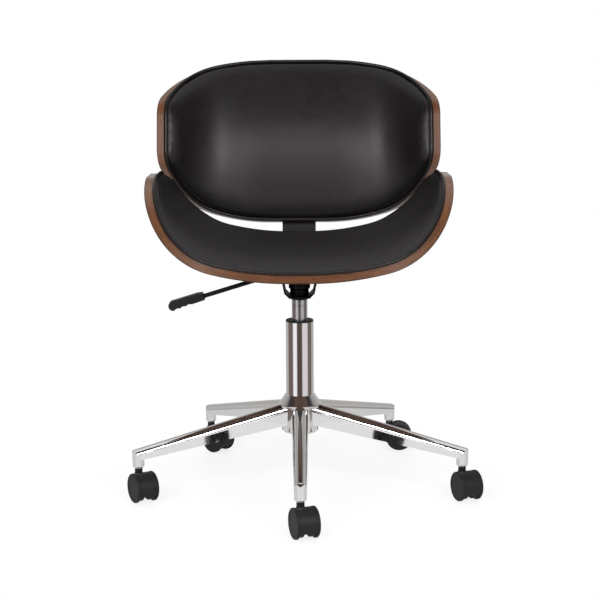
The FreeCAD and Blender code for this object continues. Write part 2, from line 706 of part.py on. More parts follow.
plate = new_body("seat_plate")
pad(plate, new_sketch(plate, "XY_Plane", "plate_bottom", [[
    ("-plate_x + plate_corner", "-plate_y", "plate_corner", 1),
    ("plate_x - plate_corner", "-plate_y"),
    ("plate_x", "-plate_y + plate_corner", "plate_corner", 1),
    ("plate_x", "plate_y - plate_corner"),
    ("plate_x - plate_corner", "plate_y", "plate_corner", 1),
    ("-plate_x + plate_corner", "plate_y"),
    ("-plate_x", "plate_y - plate_corner", "plate_corner", 1),
    ("-plate_x", "-plate_y + plate_corner"),
]]), "plate_thickness", "up")
ear_paths = []
for low, high in (("blade_width / 2 + 2", "blade_width / 2 + 4.5"), ("-blade_width / 2 - 4.5", "-blade_width / 2 - 2")):
    ear_paths.append([
        ("-pivot_x - 5", low),
        ("-pivot_x + 5", low),
        ("-pivot_x + 5", high),
        ("-pivot_x - 5", high),
    ])
pad(plate, new_sketch(plate, "XY_Plane", "plate_bottom", ear_paths), "plate_bottom - pivot_z + 5", "down")
pocket(plate, new_sketch(plate, "XZ_Plane", circles=[("-pivot_x", "pivot_z", "pivot_hole")]), "60", "both")
corners = [("%sbolt_span_x" % a, "%sbolt_span_y" % b) for a in ("-", "") for b in ("-", "")]
pocket(plate, new_sketch(plate, "XY_Plane", "plate_top", circles=[c + ("bolt_hole",) for c in corners]),
       "plate_thickness * 2", "both")
parts.append(plate)

pin = new_body("lever_pivot_pin")
pad(pin, new_sketch(pin, "XZ_Plane", circles=[("-pivot_x", "pivot_z", "pivot_radius")]), "blade_width + 11", "both")
parts.append(pin)

# The lever: a flat blade over the release button, an eye on the pin, and a drooping round rod.
pivot = FreeCAD.Placement(Vector(-number("pivot_x"), 0, number("pivot_z")), FreeCAD.Rotation())
lever = new_body("release_lever", pivot)
pad(lever, new_sketch(lever, "XZ_Plane", circles=[("0", "0", "eye_radius")]), "blade_width + 3", "both")
pad(lever, new_sketch(lever, "XY_Plane", "-blade_thickness / 2", [[
    ("0", "-blade_width / 2"),
    ("pivot_x + 4", "-blade_width / 2"),
    ("pivot_x + 6", "-blade_width / 2 + 2"),
    ("pivot_x + 6", "blade_width / 2 - 2"),
    ("pivot_x + 4", "blade_width / 2"),
    ("0", "blade_width / 2"),
]]), "blade_thickness", "up")
rod_profile = [
    ("0", "0"),
    ("-lever_length * cos(lever_slope)", "-lever_length * sin(lever_slope)"),
    ("-lever_length * cos(lever_slope) - lever_radius * sin(lever_slope)",
     "-lever_length * sin(lever_slope) + lever_radius * cos(lever_slope)"),
    ("-lever_radius * sin(lever_slope)", "lever_radius * cos(lever_slope)"),
]
rod_sketch = new_sketch(lever, "XZ_Plane", paths=[rod_profile])
rod_turn = revolve(lever, rod_sketch)
rod_turn.ReferenceAxis = (rod_sketch, ["Edge1"])
pocket(lever, new_sketch(lever, "XZ_Plane", circles=[("0", "0", "pivot_radius + run_fit")]), "blade_width * 2", "both")
parts.append(lever)

# The grip is drawn along the rod: a flattened paddle with a rounded end and finger ripples below.
grip_spot = pivot.multiply(FreeCAD.Placement(
    Vector(), FreeCAD.Rotation(Vector(0, 1, 0), -number("lever_slope"))))
grip = new_body("lever_grip", grip_spot)
derived("grip_inner", "lever_length - grip_length + 6")
derived("grip_end", "lever_length + 6")
derived("grip_half", "grip_height / 2")
sheet.recompute()
grip_path = [
    ("-grip_inner", "grip_half - 2"),
    ("-grip_inner - 10", "grip_half"),
    ("-grip_end + grip_half", "grip_half"),
    ("-grip_end", "0", "grip_half", 1),
    ("-grip_end + grip_half", "-grip_half", "grip_half", 1),
    ("-grip_end + grip_half + 11", "-grip_half + 0.6", "9", -1),
    ("-grip_end + grip_half + 22", "-grip_half + 1.2", "9", -1),
    ("-grip_end + grip_half + 33", "-grip_half + 1.8", "9", -1),
    ("-grip_inner", "-grip_half + 2.4"),
]
pad(grip, new_sketch(grip, "XZ_Plane", paths=[grip_path]), "grip_width", "both")
pocket(grip, new_sketch(grip, "YZ_Plane", "-grip_inner", circles=[("0", "0", "lever_radius + seat_fit")]),
       "grip_length - 5.5", "up")
parts.append(grip)


# Bent panels. Both are U-bent plywood cut to an outline whose sides rise as rounded wings; the
# same numbers, drawn in, give the welt and the pad.
def bend(prefix, inset, tip=None, base="ply"):
    # Half profile of a surface lying inset above the panel's inner face: four corners and radii.
    angle = prefix + "_sweep_angle"
    top = prefix + "_tip_angle"
    flat = prefix + "_flat"
    sweep = "(%s_sweep - (%s))" % (prefix, inset)
    if tip is None:
        turn = "(%s_turn - (%s))" % (prefix, inset)
    else:
        # A pad thins from its middle to the wing tips and fills the corner of the bend, so its
        # shallow curve ends sooner and its turn has a radius of its own.
        edge = "(%s_sweep * sin(%s) + %s_turn * (sin(%s) - sin(%s)) - (%s) * sin(%s))" % (
            prefix, angle, prefix, top, angle, tip, top)
        angle = prefix + "_pad_angle"
        turn = "((%s - %s * sin(%s)) / (sin(%s) - sin(%s)))" % (edge, sweep, angle, top, angle)
    x1 = flat
    z1 = "(%s + (%s))" % (base, inset)
    x2 = "(%s + %s * sin(%s))" % (x1, sweep, angle)
    z2 = "(%s + %s * (1 - cos(%s)))" % (z1, sweep, angle)
    x3 = "(%s + %s * (sin(%s) - sin(%s)))" % (x2, turn, top, angle)
    z3 = "(%s + %s * (cos(%s) - cos(%s)))" % (z2, turn, angle, top)
    x4 = "(%s + %s_run_out * cos(%s))" % (x3, prefix, top)
    z4 = "(%s + %s_run_out * sin(%s))" % (z3, prefix, top)
    return [(x1, z1), (x2, z2), (x3, z3), (x4, z4)], sweep, turn


def across(profile, first_left=True):
    # Runs a half profile from one wing tip to the other.
    corners, sweep, turn = profile
    one = "-" if first_left else ""
    two = "" if first_left else "-"
    turn_side = 1 if first_left else -1
    (x1, z1), (x2, z2), (x3, z3), (x4, z4) = corners
    return [
        (one + x4, z4),
        (one + x3, z3),
        (one + x2, z2, turn, turn_side),
        (one + x1, z1, sweep, turn_side),
        (two + x1, z1),
        (two + x2, z2, sweep, turn_side),
        (two + x3, z3, turn, turn_side),
        (two + x4, z4),
    ]


def wing_outline(prefix, start, end, inset):
    # Side outline of a panel: square edges at the middle, sloping edges, a rounded wing tip.
    angle = prefix + "_wing_angle"
    top = "(%s_wing - (%s))" % (prefix, inset)
    rounding = "(%s_wing_radius - (%s))" % (prefix, inset)
    heel = "(ply - (%s) * tan(%s / 2))" % (inset, angle)
    reach = "((%s_wing_radius - (%s_wing_radius - %s_wing + ply) * sin(%s)) / cos(%s))" % (
        prefix, prefix, prefix, angle, angle)
    c1 = "(%s + %s)" % (start, reach)
    c2 = "(%s - %s)" % (end, reach)
    shoulder = "(%s - %s + %s * sin(%s))" % (top, rounding, rounding, angle)
    return [
        ("%s + (%s)" % (start, inset), "-20"),
        ("%s + (%s)" % (start, inset), heel),
        ("%s - %s * cos(%s)" % (c1, rounding, angle), shoulder),
        (c1, top, rounding, -1),
        (c2, top),
        ("%s + %s * cos(%s)" % (c2, rounding, angle), shoulder, rounding, -1),
        ("%s - (%s)" % (end, inset), heel),
        ("%s - (%s)" % (end, inset), "-20"),
    ]


def around(prefix, start, end):
    return [
        ("%s - 60" % start, "-40"),
        ("%s + 60" % end, "-40"),
        ("%s + 60" % end, "%s_wing + 120" % prefix),
        ("%s - 60" % start, "%s_wing + 120" % prefix),
    ]


def free_sketch(label, turn):
    sketch = doc.addObject("Sketcher::SketchObject", label)
    sketch.Placement = FreeCAD.Placement(Vector(), turn)
    return sketch


front_view = FreeCAD.Rotation(Vector(1, 0, 0), 90)
side_view = FreeCAD.Rotation(0.5, 0.5, 0.5, 0.5)


def panel_shell(prefix, start, end, holes, placement):
    # The ply: a bent sheet, cut to outline and thickened square to its face, then drilled.
    line = free_sketch(prefix + "_bend", front_view)
    add_path(line, across(bend(prefix, "0")), closed=False)
    sheet_face = doc.addObject("Part::Extrusion", prefix + "_sheet")
    sheet_face.Base = line
    sheet_face.DirMode = "Custom"
    sheet_face.Dir = Vector(0, 1, 0)
    sheet_face.LengthFwd = number("%s + 40" % end)
    sheet_face.setExpression("LengthFwd", bind("%s + 40" % end))
    sheet_face.LengthRev = number("40 - %s" % start)
    sheet_face.setExpression("LengthRev", bind("40 - %s" % start))
    sheet_face.Solid = False
    outline = free_sketch(prefix + "_outline", side_view)
    add_path(outline, wing_outline(prefix, start, end, "0"))
    block = doc.addObject("Part::Extrusion", prefix + "_block")
    block.Base = outline
    block.DirMode = "Custom"
    block.Dir = Vector(1, 0, 0)
    half = "%s_flat + %s_sweep * sin(%s_sweep_angle) + %s_turn + 60" % (prefix, prefix, prefix, prefix)
    block.LengthFwd = number(half)
    block.setExpression("LengthFwd", bind(half))
    block.LengthRev = number(half)
    block.setExpression("LengthRev", bind(half))
    block.Solid = True
    cut = doc.addObject("Part::Common", prefix + "_cut")
    cut.Base = sheet_face
    cut.Tool = block
    thick = doc.addObject("Part::Offset", prefix + "_thick")
    thick.Source = cut
    thick.Value = number("ply")
    thick.setExpression("Value", bind("ply"))
    thick.Fill = True
    drills = []
    for x, y in holes:
        for radius, low, high in (("nut_barrel + 0.2", "-10", "ply + 2"),
                                  ("nut_flange + 0.2", "ply - nut_flange_height - 0.4", "ply + 8")):
            drill = doc.addObject("Part::Cylinder", prefix + "_drill")
            drill.Radius = number(radius)
            drill.setExpression("Radius", bind(radius))
            drill.Height = number("%s - (%s)" % (high, low))
            drill.setExpression("Height", bind("%s - (%s)" % (high, low)))
            drill.Placement.Base = Vector(number(x), number(y), number(low))
            for axis, text in (("x", x), ("y", y), ("z", low)):
                drill.setExpression("Placement.Base." + axis, bind(text))
            drills.append(drill)
    bits = doc.addObject("Part::Compound", prefix + "_drills")
    bits.Links = drills
    result = doc.addObject("Part::Cut", prefix + "_shell")
    result.Base = thick
    result.Tool = bits
    result.Label = prefix + "_shell"
    result.Placement = placement
    return result


def panel_welt(prefix, start, end, placement):
    # Piping round the panel's edge: a layer of the bend, cut to a narrow band inside the outline.
    body = new_body(prefix + "_welt", placement)
    layer = across(bend(prefix, "pad_gap")) + across(bend(prefix, "pad_gap + welt_width"), False)
    pad(body, new_sketch(body, "XZ_Plane", paths=[layer]), "1200", "both")
    outside = [around(prefix, start + " - 600", end + " + 600"), wing_outline(prefix, start, end, prefix + "_welt_inset")]
    pocket(body, new_sketch(body, "YZ_Plane", paths=outside), "1200", "both")
    inside = [wing_outline(prefix, start, end, prefix + "_welt_inset + welt_width")]
    pocket(body, new_sketch(body, "YZ_Plane", paths=inside), "1200", "both")
    return body


def rim_edges(shape):
    # The edges where a pad's crowned upper side meets its cut sides.
    cut = set()
    crown = set()
    for face in shape.Faces:
        low_u, high_u, low_v, high_v = face.ParameterRange
        upward = face.normalAt((low_u + high_u) / 2, (low_v + high_v) / 2).z
        flat = face.Surface.TypeId in ("Part::GeomPlane", "Part::GeomCylinder")
        for edge in face.Edges:
            if flat:
                cut.add(edge.hashCode())
            elif upward > 0.1:
                crown.add(edge.hashCode())
    shared = cut & crown
    return ["Edge%d" % (i + 1) for i, edge in enumerate(shape.Edges) if edge.hashCode() in shared]


def panel_pad(prefix, start, end, sections, placement):
    # The cushion: sections through the panel, thick in the middle and thin at the edges, lofted and cut.
    body = new_body(prefix + "_pad", placement)
    drawn = []
    for place, thick, tip in sections:
        under = bend(prefix, "pad_gap")
        over = bend(prefix, "pad_gap + " + thick, tip)
        path = across(under) + across(over, False)
        drawn.append(new_sketch(body, "XZ_Plane", "-(%s)" % place, [path]))
    loft(body, drawn)
    outside = [around(prefix, start + " - 80", end + " + 80"), wing_outline(prefix, start, end, prefix + "_welt_inset + welt_width + pad_to_welt")]
    cut = pocket(body, new_sketch(body, "YZ_Plane", paths=outside), "1200", "both")
    body.recompute(True)
    rim = body.newObject("PartDesign::Fillet", prefix + "_rim")
    rim.Base = (cut, rim_edges(cut.Shape))
    rim.setExpression("Radius", bind("pad_rounding"))
    return body


seat_frame = FreeCAD.Placement(Vector(0, 0, number("seat_bottom")), FreeCAD.Rotation())
back_frame = FreeCAD.Placement(Vector(0, number("back_y"), number("back_z")),
                               FreeCAD.Rotation(Vector(1, 0, 0), 90 - number("back_lean")))
bracket_seat = [(x, y) for x in ("-bracket_bolt_x", "bracket_bolt_x")
                for y in ("bracket_bolt_front", "bracket_bolt_rear")]
bracket_back = [(x, y) for x in ("-bracket_bolt_x", "bracket_bolt_x")
                for y in ("bracket_bolt_low", "bracket_bolt_high")]
parts.append(panel_shell("seat", "seat_front", "seat_rear", corners + bracket_seat, seat_frame))
parts.append(panel_welt("seat", "seat_front", "seat_rear", seat_frame))
parts.append(panel_pad("seat", "seat_front", "seat_rear", [
    ("seat_front - 8", "seat_pad_edge", "seat_pad_tip * 0.5"),
    ("seat_front + 55", "seat_pad_shoulder", "seat_pad_tip * 0.8"),
    ("(seat_front + seat_rear) / 2", "seat_pad_mid", "seat_pad_tip"),
    ("seat_rear - 45", "seat_pad_shoulder + 2", "seat_pad_tip * 0.8"),
    ("seat_rear + 8", "seat_pad_edge", "seat_pad_tip * 0.5"),
], seat_frame))
parts.append(panel_shell("back", "back_start", "back_height", bracket_back, back_frame))
parts.append(panel_welt("back", "back_start + back_pad_rise", "back_height + back_pad_rise", back_frame))
parts.append(panel_pad("back", "back_start + back_pad_rise", "back_height + back_pad_rise", [
    ("back_start - 8", "back_pad_edge", "back_pad_tip * 0.5"),
    ("back_start + 60", "back_pad_shoulder", "back_pad_tip * 0.8"),
    ("back_height / 2", "back_pad_mid", "back_pad_tip"),
    ("back_height - 60", "back_pad_shoulder", "back_pad_tip * 0.8"),
    ("back_height + 8", "back_pad_edge", "back_pad_tip * 0.5"),
], back_frame))

# Bracket: one steel strip under the seat, bent up behind the back.
derived("strip_half", "bracket_thickness / 2")
derived("strip_low", "seat_bottom - bracket_thickness")
derived("strip_turn", "90 - back_lean")
derived("strip_y", "back_y + strip_half * cos(back_lean)")
derived("strip_z", "back_z - strip_half * sin(back_lean)")
derived("strip_corner", "strip_y - (strip_z - seat_bottom + strip_half) * tan(back_lean)")
derived("strip_flat_end", "strip_corner - bracket_bend * tan(strip_turn / 2)")
derived("strip_centre", "seat_bottom - strip_half + bracket_bend")
derived("bend_inner", "bracket_bend - strip_half")
derived("bend_outer", "bracket_bend + strip_half")
sheet.recompute()
bracket = new_body("back_bracket")
up_y = "(strip_y + bracket_reach * sin(back_lean))"
up_z = "(strip_z + bracket_reach * cos(back_lean))"
strip = [
    ("bracket_start", "strip_low"),
    ("strip_flat_end", "strip_low"),
    ("strip_flat_end + bend_outer * sin(strip_turn)", "strip_centre - bend_outer * cos(strip_turn)", "bend_outer", 1),
    (up_y + " + strip_half * cos(back_lean)", up_z + " - strip_half * sin(back_lean)"),
    (up_y + " - strip_half * cos(back_lean)", up_z + " + strip_half * sin(back_lean)"),
    ("strip_flat_end + bend_inner * sin(strip_turn)", "strip_centre - bend_inner * cos(strip_turn)"),
    ("strip_flat_end", "seat_bottom", "bend_inner", -1),
    ("bracket_start", "seat_bottom"),
]
pad(bracket, new_sketch(bracket, "YZ_Plane", paths=[strip]), "bracket_width", "both")
pocket(bracket, new_sketch(bracket, "XY_Plane", "seat_bottom", circles=[c + ("bolt_hole",) for c in bracket_seat]),
       "bracket_thickness * 4", "both")
parts.append(bracket)

# Fasteners: bolts into tee nuts let into the panels' inner faces, and spacers under the seat.
spacers = new_body("plate_spacers", seat_frame)
pad(spacers, new_sketch(spacers, "XY_Plane", "-plate_drop", circles=[c + ("spacer_radius",) for c in corners]),
    "plate_drop + 4", "up")
pocket(spacers, new_sketch(spacers, "XY_Plane", circles=[c + ("bolt_hole",) for c in corners]), "40", "both")
under = bend("seat", "-ply - seat_fit")
(ux1, uz1), (ux2, uz2) = under[0][:2]
over_sheet = [
    ("-" + ux2, uz2),
    ("-" + ux1, uz1, under[1], 1),
    (ux1, uz1),
    (ux2, uz2, under[1], 1),
    (ux2, "60"),
    ("-" + ux2, "60"),
]
pocket(spacers, new_sketch(spacers, "XZ_Plane", paths=[over_sheet]), "400", "both")
parts.append(spacers)


def bolts(label, spots, seat, length, placement):
    body = new_body(label, placement)
    heads = new_sketch(body, "XY_Plane", seat, circles=[c + ("bolt_head_radius",) for c in spots])
    pad(body, heads, "bolt_head_height", "down")
    shanks = new_sketch(body, "XY_Plane", seat, circles=[c + ("bolt_radius",) for c in spots])
    pad(body, shanks, length, "up")
    drives = new_sketch(body, "XY_Plane", "%s - bolt_head_height" % seat, circles=[c + ("2",) for c in spots])
    pocket(body, drives, "2", "down")
    return body


def tee_nuts(label, spots, placement):
    body = new_body(label, placement)
    flanges = new_sketch(body, "XY_Plane", "ply - 0.2", circles=[c + ("nut_flange",) for c in spots])
    pad(body, flanges, "nut_flange_height", "down")
    barrels = new_sketch(body, "XY_Plane", "ply - 0.2", circles=[c + ("nut_barrel",) for c in spots])
    pad(body, barrels, "ply - 2", "down")
    bores = new_sketch(body, "XY_Plane", "ply", circles=[c + ("bolt_radius + seat_fit",) for c in spots])
    pocket(body, bores, "40", "both")
    return body


parts.append(bolts("plate_bolts", corners, "-plate_drop - plate_thickness", "plate_drop + plate_thickness + ply - 2", seat_frame))
parts.append(bolts("bracket_seat_bolts", bracket_seat, "-bracket_thickness", "bracket_thickness + ply - 2", seat_frame))
parts.append(bolts("bracket_back_bolts", bracket_back, "-bracket_thickness", "bracket_thickness + ply - 2", back_frame))
parts.append(tee_nuts("seat_tee_nuts", corners + bracket_seat, seat_frame))
parts.append(tee_nuts("back_tee_nuts", bracket_back, back_frame))

doc.recompute()
# The bracket's upper bolt holes lie square to the leaning back, so they are drilled in its frame.
drills = []
for x, y in bracket_back:
    drill = doc.addObject("Part::Cylinder", "bracket_drill")
    drill.Radius = number("bolt_hole")
    drill.setExpression("Radius", bind("bolt_hole"))
    drill.Height = number("bracket_thickness * 3")
    drill.setExpression("Height", bind("bracket_thickness * 3"))
    local = FreeCAD.Placement(Vector(number(x), number(y), -number("bracket_thickness * 2")), FreeCAD.Rotation())
    drill.Placement = back_frame.multiply(local)
    drills.append(drill)
bits = doc.addObject("Part::Compound", "bracket_drills")
bits.Links = drills
drilled = doc.addObject("Part::Cut", "back_bracket_drilled")
drilled.Base = bracket
drilled.Tool = bits
parts[parts.index(bracket)] = drilled
bracket.Label = "back_bracket_strip"
drilled.Label = "back_bracket"

doc.recompute()
failed = [item.Label for item in doc.Objects if "Invalid" in item.State or "Error" in item.State]
failed += [item.Label for item in parts if item.Shape.isNull() or not item.Shape.isValid()]
if failed:
    raise SystemExit("failed: " + ", ".join(failed))
os.makedirs("parts", exist_ok=True)
for item in parts:
    item.Shape.exportStep("parts/%s.step" % item.Label)
    print("%s: %d solids, %.0f mm3" % (item.Label, len(item.Shape.Solids), item.Shape.Volume))
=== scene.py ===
from math import cos, pi, radians, sin, tan

import bmesh
import bpy
import numpy as np
from mathutils import Matrix, Vector
from mathutils.bvhtree import BVHTree


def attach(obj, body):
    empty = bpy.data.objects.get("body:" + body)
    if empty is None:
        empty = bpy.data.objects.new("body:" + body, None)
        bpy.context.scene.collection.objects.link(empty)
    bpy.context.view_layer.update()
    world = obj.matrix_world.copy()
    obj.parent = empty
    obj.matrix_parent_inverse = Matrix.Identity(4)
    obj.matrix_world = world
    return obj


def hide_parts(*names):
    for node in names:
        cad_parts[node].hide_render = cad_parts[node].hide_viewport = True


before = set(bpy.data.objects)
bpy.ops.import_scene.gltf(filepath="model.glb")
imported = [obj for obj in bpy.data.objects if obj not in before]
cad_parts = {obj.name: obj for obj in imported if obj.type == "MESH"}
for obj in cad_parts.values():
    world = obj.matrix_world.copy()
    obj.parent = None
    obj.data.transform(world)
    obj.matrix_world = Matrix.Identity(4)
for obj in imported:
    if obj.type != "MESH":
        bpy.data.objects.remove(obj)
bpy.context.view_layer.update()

# Star base: five tapering half-round legs on a barrel hub with a conical collar, pressed from steel
# sheet, welded together, polished and chrome plated. Each leg ends in a socket for a caster stem.


class Wire:
    """A node's output socket. Arithmetic on it adds Math nodes to its graph."""

    def __init__(self, graph, socket):
        self.graph = graph
        self.socket = socket

    def math(self, operation, *values):
        return self.graph.node("ShaderNodeMath", {"operation": operation}, dict(enumerate(values)))

    def __add__(self, other):
        return self.math("ADD", self, other)

    def __radd__(self, other):
        return self.math("ADD", other, self)

    def __sub__(self, other):
        return self.math("SUBTRACT", self, other)

    def __rsub__(self, other):
        return self.math("SUBTRACT", other, self)

    def __mul__(self, other):
        return self.math("MULTIPLY", self, other)

    def __rmul__(self, other):
        return self.math("MULTIPLY", other, self)

    def __truediv__(self, other):
        return self.math("DIVIDE", self, other)

    def __rtruediv__(self, other):
        return self.math("DIVIDE", other, self)

    def __pow__(self, other):
        return self.math("POWER", self, other)

    def __rpow__(self, other):
        return self.math("POWER", other, self)

    def __neg__(self):
        return self.math("MULTIPLY", self, -1.0)

    def __abs__(self):
        return self.math("ABSOLUTE", self)

    def __gt__(self, other):
        return self.math("GREATER_THAN", self, other)


class Graph:
    """A node tree under construction; node() adds any node and gives back one of its outputs."""

    def __init__(self, tree):
        self.tree = tree

    def node(self, kind, settings=(), sockets=(), output=0):
        made = self.tree.nodes.new(kind)
        for name, value in dict(settings).items():
            if name == "stops":
                for place, colour in value[2:]:
                    made.color_ramp.elements.new(place)
                for element, (place, colour) in zip(made.color_ramp.elements, value):
                    element.position = place
                    element.color = colour
            else:
                setattr(made, name, value)
        self.feed(made, sockets)
        return Wire(self, made.outputs[output])

    def feed(self, made, sockets):
        # A list of wires goes to a socket that takes more than one.
        for key, value in dict(sockets).items():
            if isinstance(value, (Wire, list)):
                for wire in value if isinstance(value, list) else [value]:
                    self.tree.links.new(wire.socket, made.inputs[key])
            else:
                made.inputs[key].default_value = value

    def mix(self, factor, one, two):
        colours = {0: factor, 6: one, 7: two}
        return self.node("ShaderNodeMix", {"data_type": "RGBA"}, colours, output=2)

    def axes(self, vector):
        parts = self.node("ShaderNodeSeparateXYZ", {}, {"Vector": vector}).socket.node
        return [Wire(self, parts.outputs[axis]) for axis in "XYZ"]

    def fade(self, value, low, high):
        # Rises smoothly from 0 to 1 while value goes from low to high.
        return self.node("ShaderNodeMapRange", {"interpolation_type": "SMOOTHSTEP"},
                         {"Value": value, "From Min": low, "From Max": high})


class Finish(Graph):
    """A material under construction, on the piece's own Object coordinates."""

    def __init__(self, name):
        self.material = bpy.data.materials.new(name)
        self.material.use_nodes = True
        super().__init__(self.material.node_tree)
        self.shader = self.tree.nodes["Principled BSDF"]
        self.place = self.node("ShaderNodeTexCoord", output="Object")

    def noise(self, scale, detail=2.0, vector=None, rough=0.5):
        sockets = {"Vector": vector or self.place, "Scale": scale, "Detail": detail,
                   "Roughness": rough}
        return self.node("ShaderNodeTexNoise", {}, sockets)

    def stretched(self, x, y, z, vector=None):
        sockets = {0: vector or self.place, 1: (x, y, z)}
        return self.node("ShaderNodeVectorMath", {"operation": "MULTIPLY"}, sockets)

    def bump(self, height, distance, strength=1.0):
        return self.node("ShaderNodeBump", {},
                         {"Height": height, "Distance": distance, "Strength": strength})

    def dress(self, sockets):
        self.feed(self.shader, sockets)
        return self.material


def rgb(red, green, blue):
    return (red, green, blue, 1.0)


def paint(material, *names):
    # Gives CAD nodes a finish through their material slots.
    for name in names:
        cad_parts[name].material_slots[0].material = material


def chrome_plate():
    finish = Finish("chrome")
    haze = finish.noise(9.0, 4.0)
    wave = finish.noise(38.0, 1.0)
    return finish.dress({
        "Base Color": finish.mix(haze, rgb(0.93, 0.925, 0.92), rgb(0.97, 0.965, 0.96)),
        "Metallic": 1.0,
        "Roughness": 0.035 + 0.04 * haze,
        "Normal": finish.bump(wave, 0.00003),
    })


chrome = chrome_plate()
paint(chrome, "star_base")

# Casters: twin nylon wheels on a steel axle under a moulded hood, which swivels on a plated stem
# pushed into the leg's socket and held there by a sprung ring.
places = ("front", "left", "rear_left", "rear_right", "right")


def nylon():
    finish = Finish("caster_nylon")
    tone = finish.noise(60.0, 3.0)
    pores = finish.noise(1900.0, 2.0)
    return finish.dress({
        "Base Color": finish.mix(tone, rgb(0.013, 0.0122, 0.0128), rgb(0.02, 0.0188, 0.0196)),
        "Roughness": 0.44 + 0.16 * tone,
        "Specular IOR Level": 0.35,
        "Normal": finish.bump(pores, 0.00012, 0.5),
    })


def plated_steel(name, tone, gloss):
    # Bright turned steel with fine marks round its own upright axis.
    dulled = 0.86
    finish = Finish(name)
    marks = finish.noise(900.0, 2.0, finish.stretched(0.03, 0.03, 1.0))
    stain = finish.noise(40.0, 3.0)
    return finish.dress({
        "Base Color": finish.mix(stain, rgb(*(dulled * part for part in tone)), rgb(*tone)),
        "Metallic": 1.0,
        "Roughness": gloss + 0.12 * marks,
        "Normal": finish.bump(marks, 0.00002, 0.6),
    })


caster_nylon = nylon()
bright_steel = plated_steel("bright_steel", (0.66, 0.655, 0.65), 0.16)
spring_steel = plated_steel("spring_steel", (0.42, 0.42, 0.43), 0.28)
paint(spring_steel, "caster_grip_rings")
paint(bright_steel, "caster_stems")
for place in places:
    paint(caster_nylon, "caster_hood_" + place)
    paint(caster_nylon, "caster_wheel_%s_a" % place, "caster_wheel_%s_b" % place)
    paint(bright_steel, "caster_axle_" + place)

# Gas lift: a chromed column tube pressed into the hub, a black guide bush at its rim, and the satin
# steel cylinder that slides in it, with its piston rod standing on a thrust bearing below.


def satin_steel():
    finish = Finish("satin_steel")
    lines = finish.noise(1400.0, 3.0, finish.stretched(0.01, 0.01, 1.0))
    stain = finish.noise(22.0, 4.0)
    return finish.dress({
        "Base Color": finish.mix(stain, rgb(0.56, 0.56, 0.565), rgb(0.66, 0.66, 0.66)),
        "Metallic": 1.0,
        "Roughness": 0.24 + 0.08 * lines,
        "Normal": finish.bump(lines, 0.000003, 0.5),
    })


def moulded_black(name, shade, gloss):
    finish = Finish(name)
    tone = finish.noise(80.0, 3.0)
    grain = finish.noise(1500.0, 2.0)
    return finish.dress({
        "Base Color": finish.mix(tone, rgb(shade, shade * 0.96, shade * 0.97),
                                 rgb(shade * 1.5, shade * 1.45, shade * 1.48)),
        "Roughness": gloss + 0.14 * tone,
        "Normal": finish.bump(grain, 0.0001, 0.5),
    })


black_plastic = moulded_black("black_plastic", 0.013, 0.4)
bump_rubber = moulded_black("bump_rubber", 0.009, 0.68)
paint(chrome, "column_tube")
paint(black_plastic, "guide_bush")
paint(satin_steel(), "gas_cylinder")
paint(bump_rubber, "bump_stop")
paint(bright_steel, "piston_rod", "piston")
paint(bright_steel, "bearing_race_lower", "bearing_race_upper", "bearing_balls")
paint(spring_steel, "rod_clip")
paint(black_plastic, "rod_guide")

# Seat mechanism: a taper socket welded into a folded steel channel under the seat plate, all powder
# coated black, and the release lever that tips on a pin and presses the cylinder's button.


def powder_coat():
    finish = Finish("black_paint")
    peel = finish.noise(620.0, 2.0)
    tone = finish.noise(30.0, 3.0)
    return finish.dress({
        "Base Color": finish.mix(tone, rgb(0.0075, 0.007, 0.007), rgb(0.0115, 0.011, 0.011)),
        "Roughness": 0.42 + 0.14 * tone,
        "Specular IOR Level": 0.25,
        "Normal": finish.bump(peel, 0.00025, 0.6),
    })


black_paint = powder_coat()
zinc_plate = plated_steel("zinc_plate", (0.6, 0.6, 0.57), 0.3)
paint(black_paint, "taper_socket", "swivel_channel", "seat_plate", "release_lever", "back_bracket")
paint(bright_steel, "lever_pivot_pin", "release_button")
paint(black_plastic, "lever_grip", "plate_spacers")
paint(zinc_plate, "seat_tee_nuts", "back_tee_nuts")

# Seat panel: a sheet of nine walnut-faced veneers, bent in a press into a shallow U with upturned
# sides, sawn to its outline, stained and lacquered.


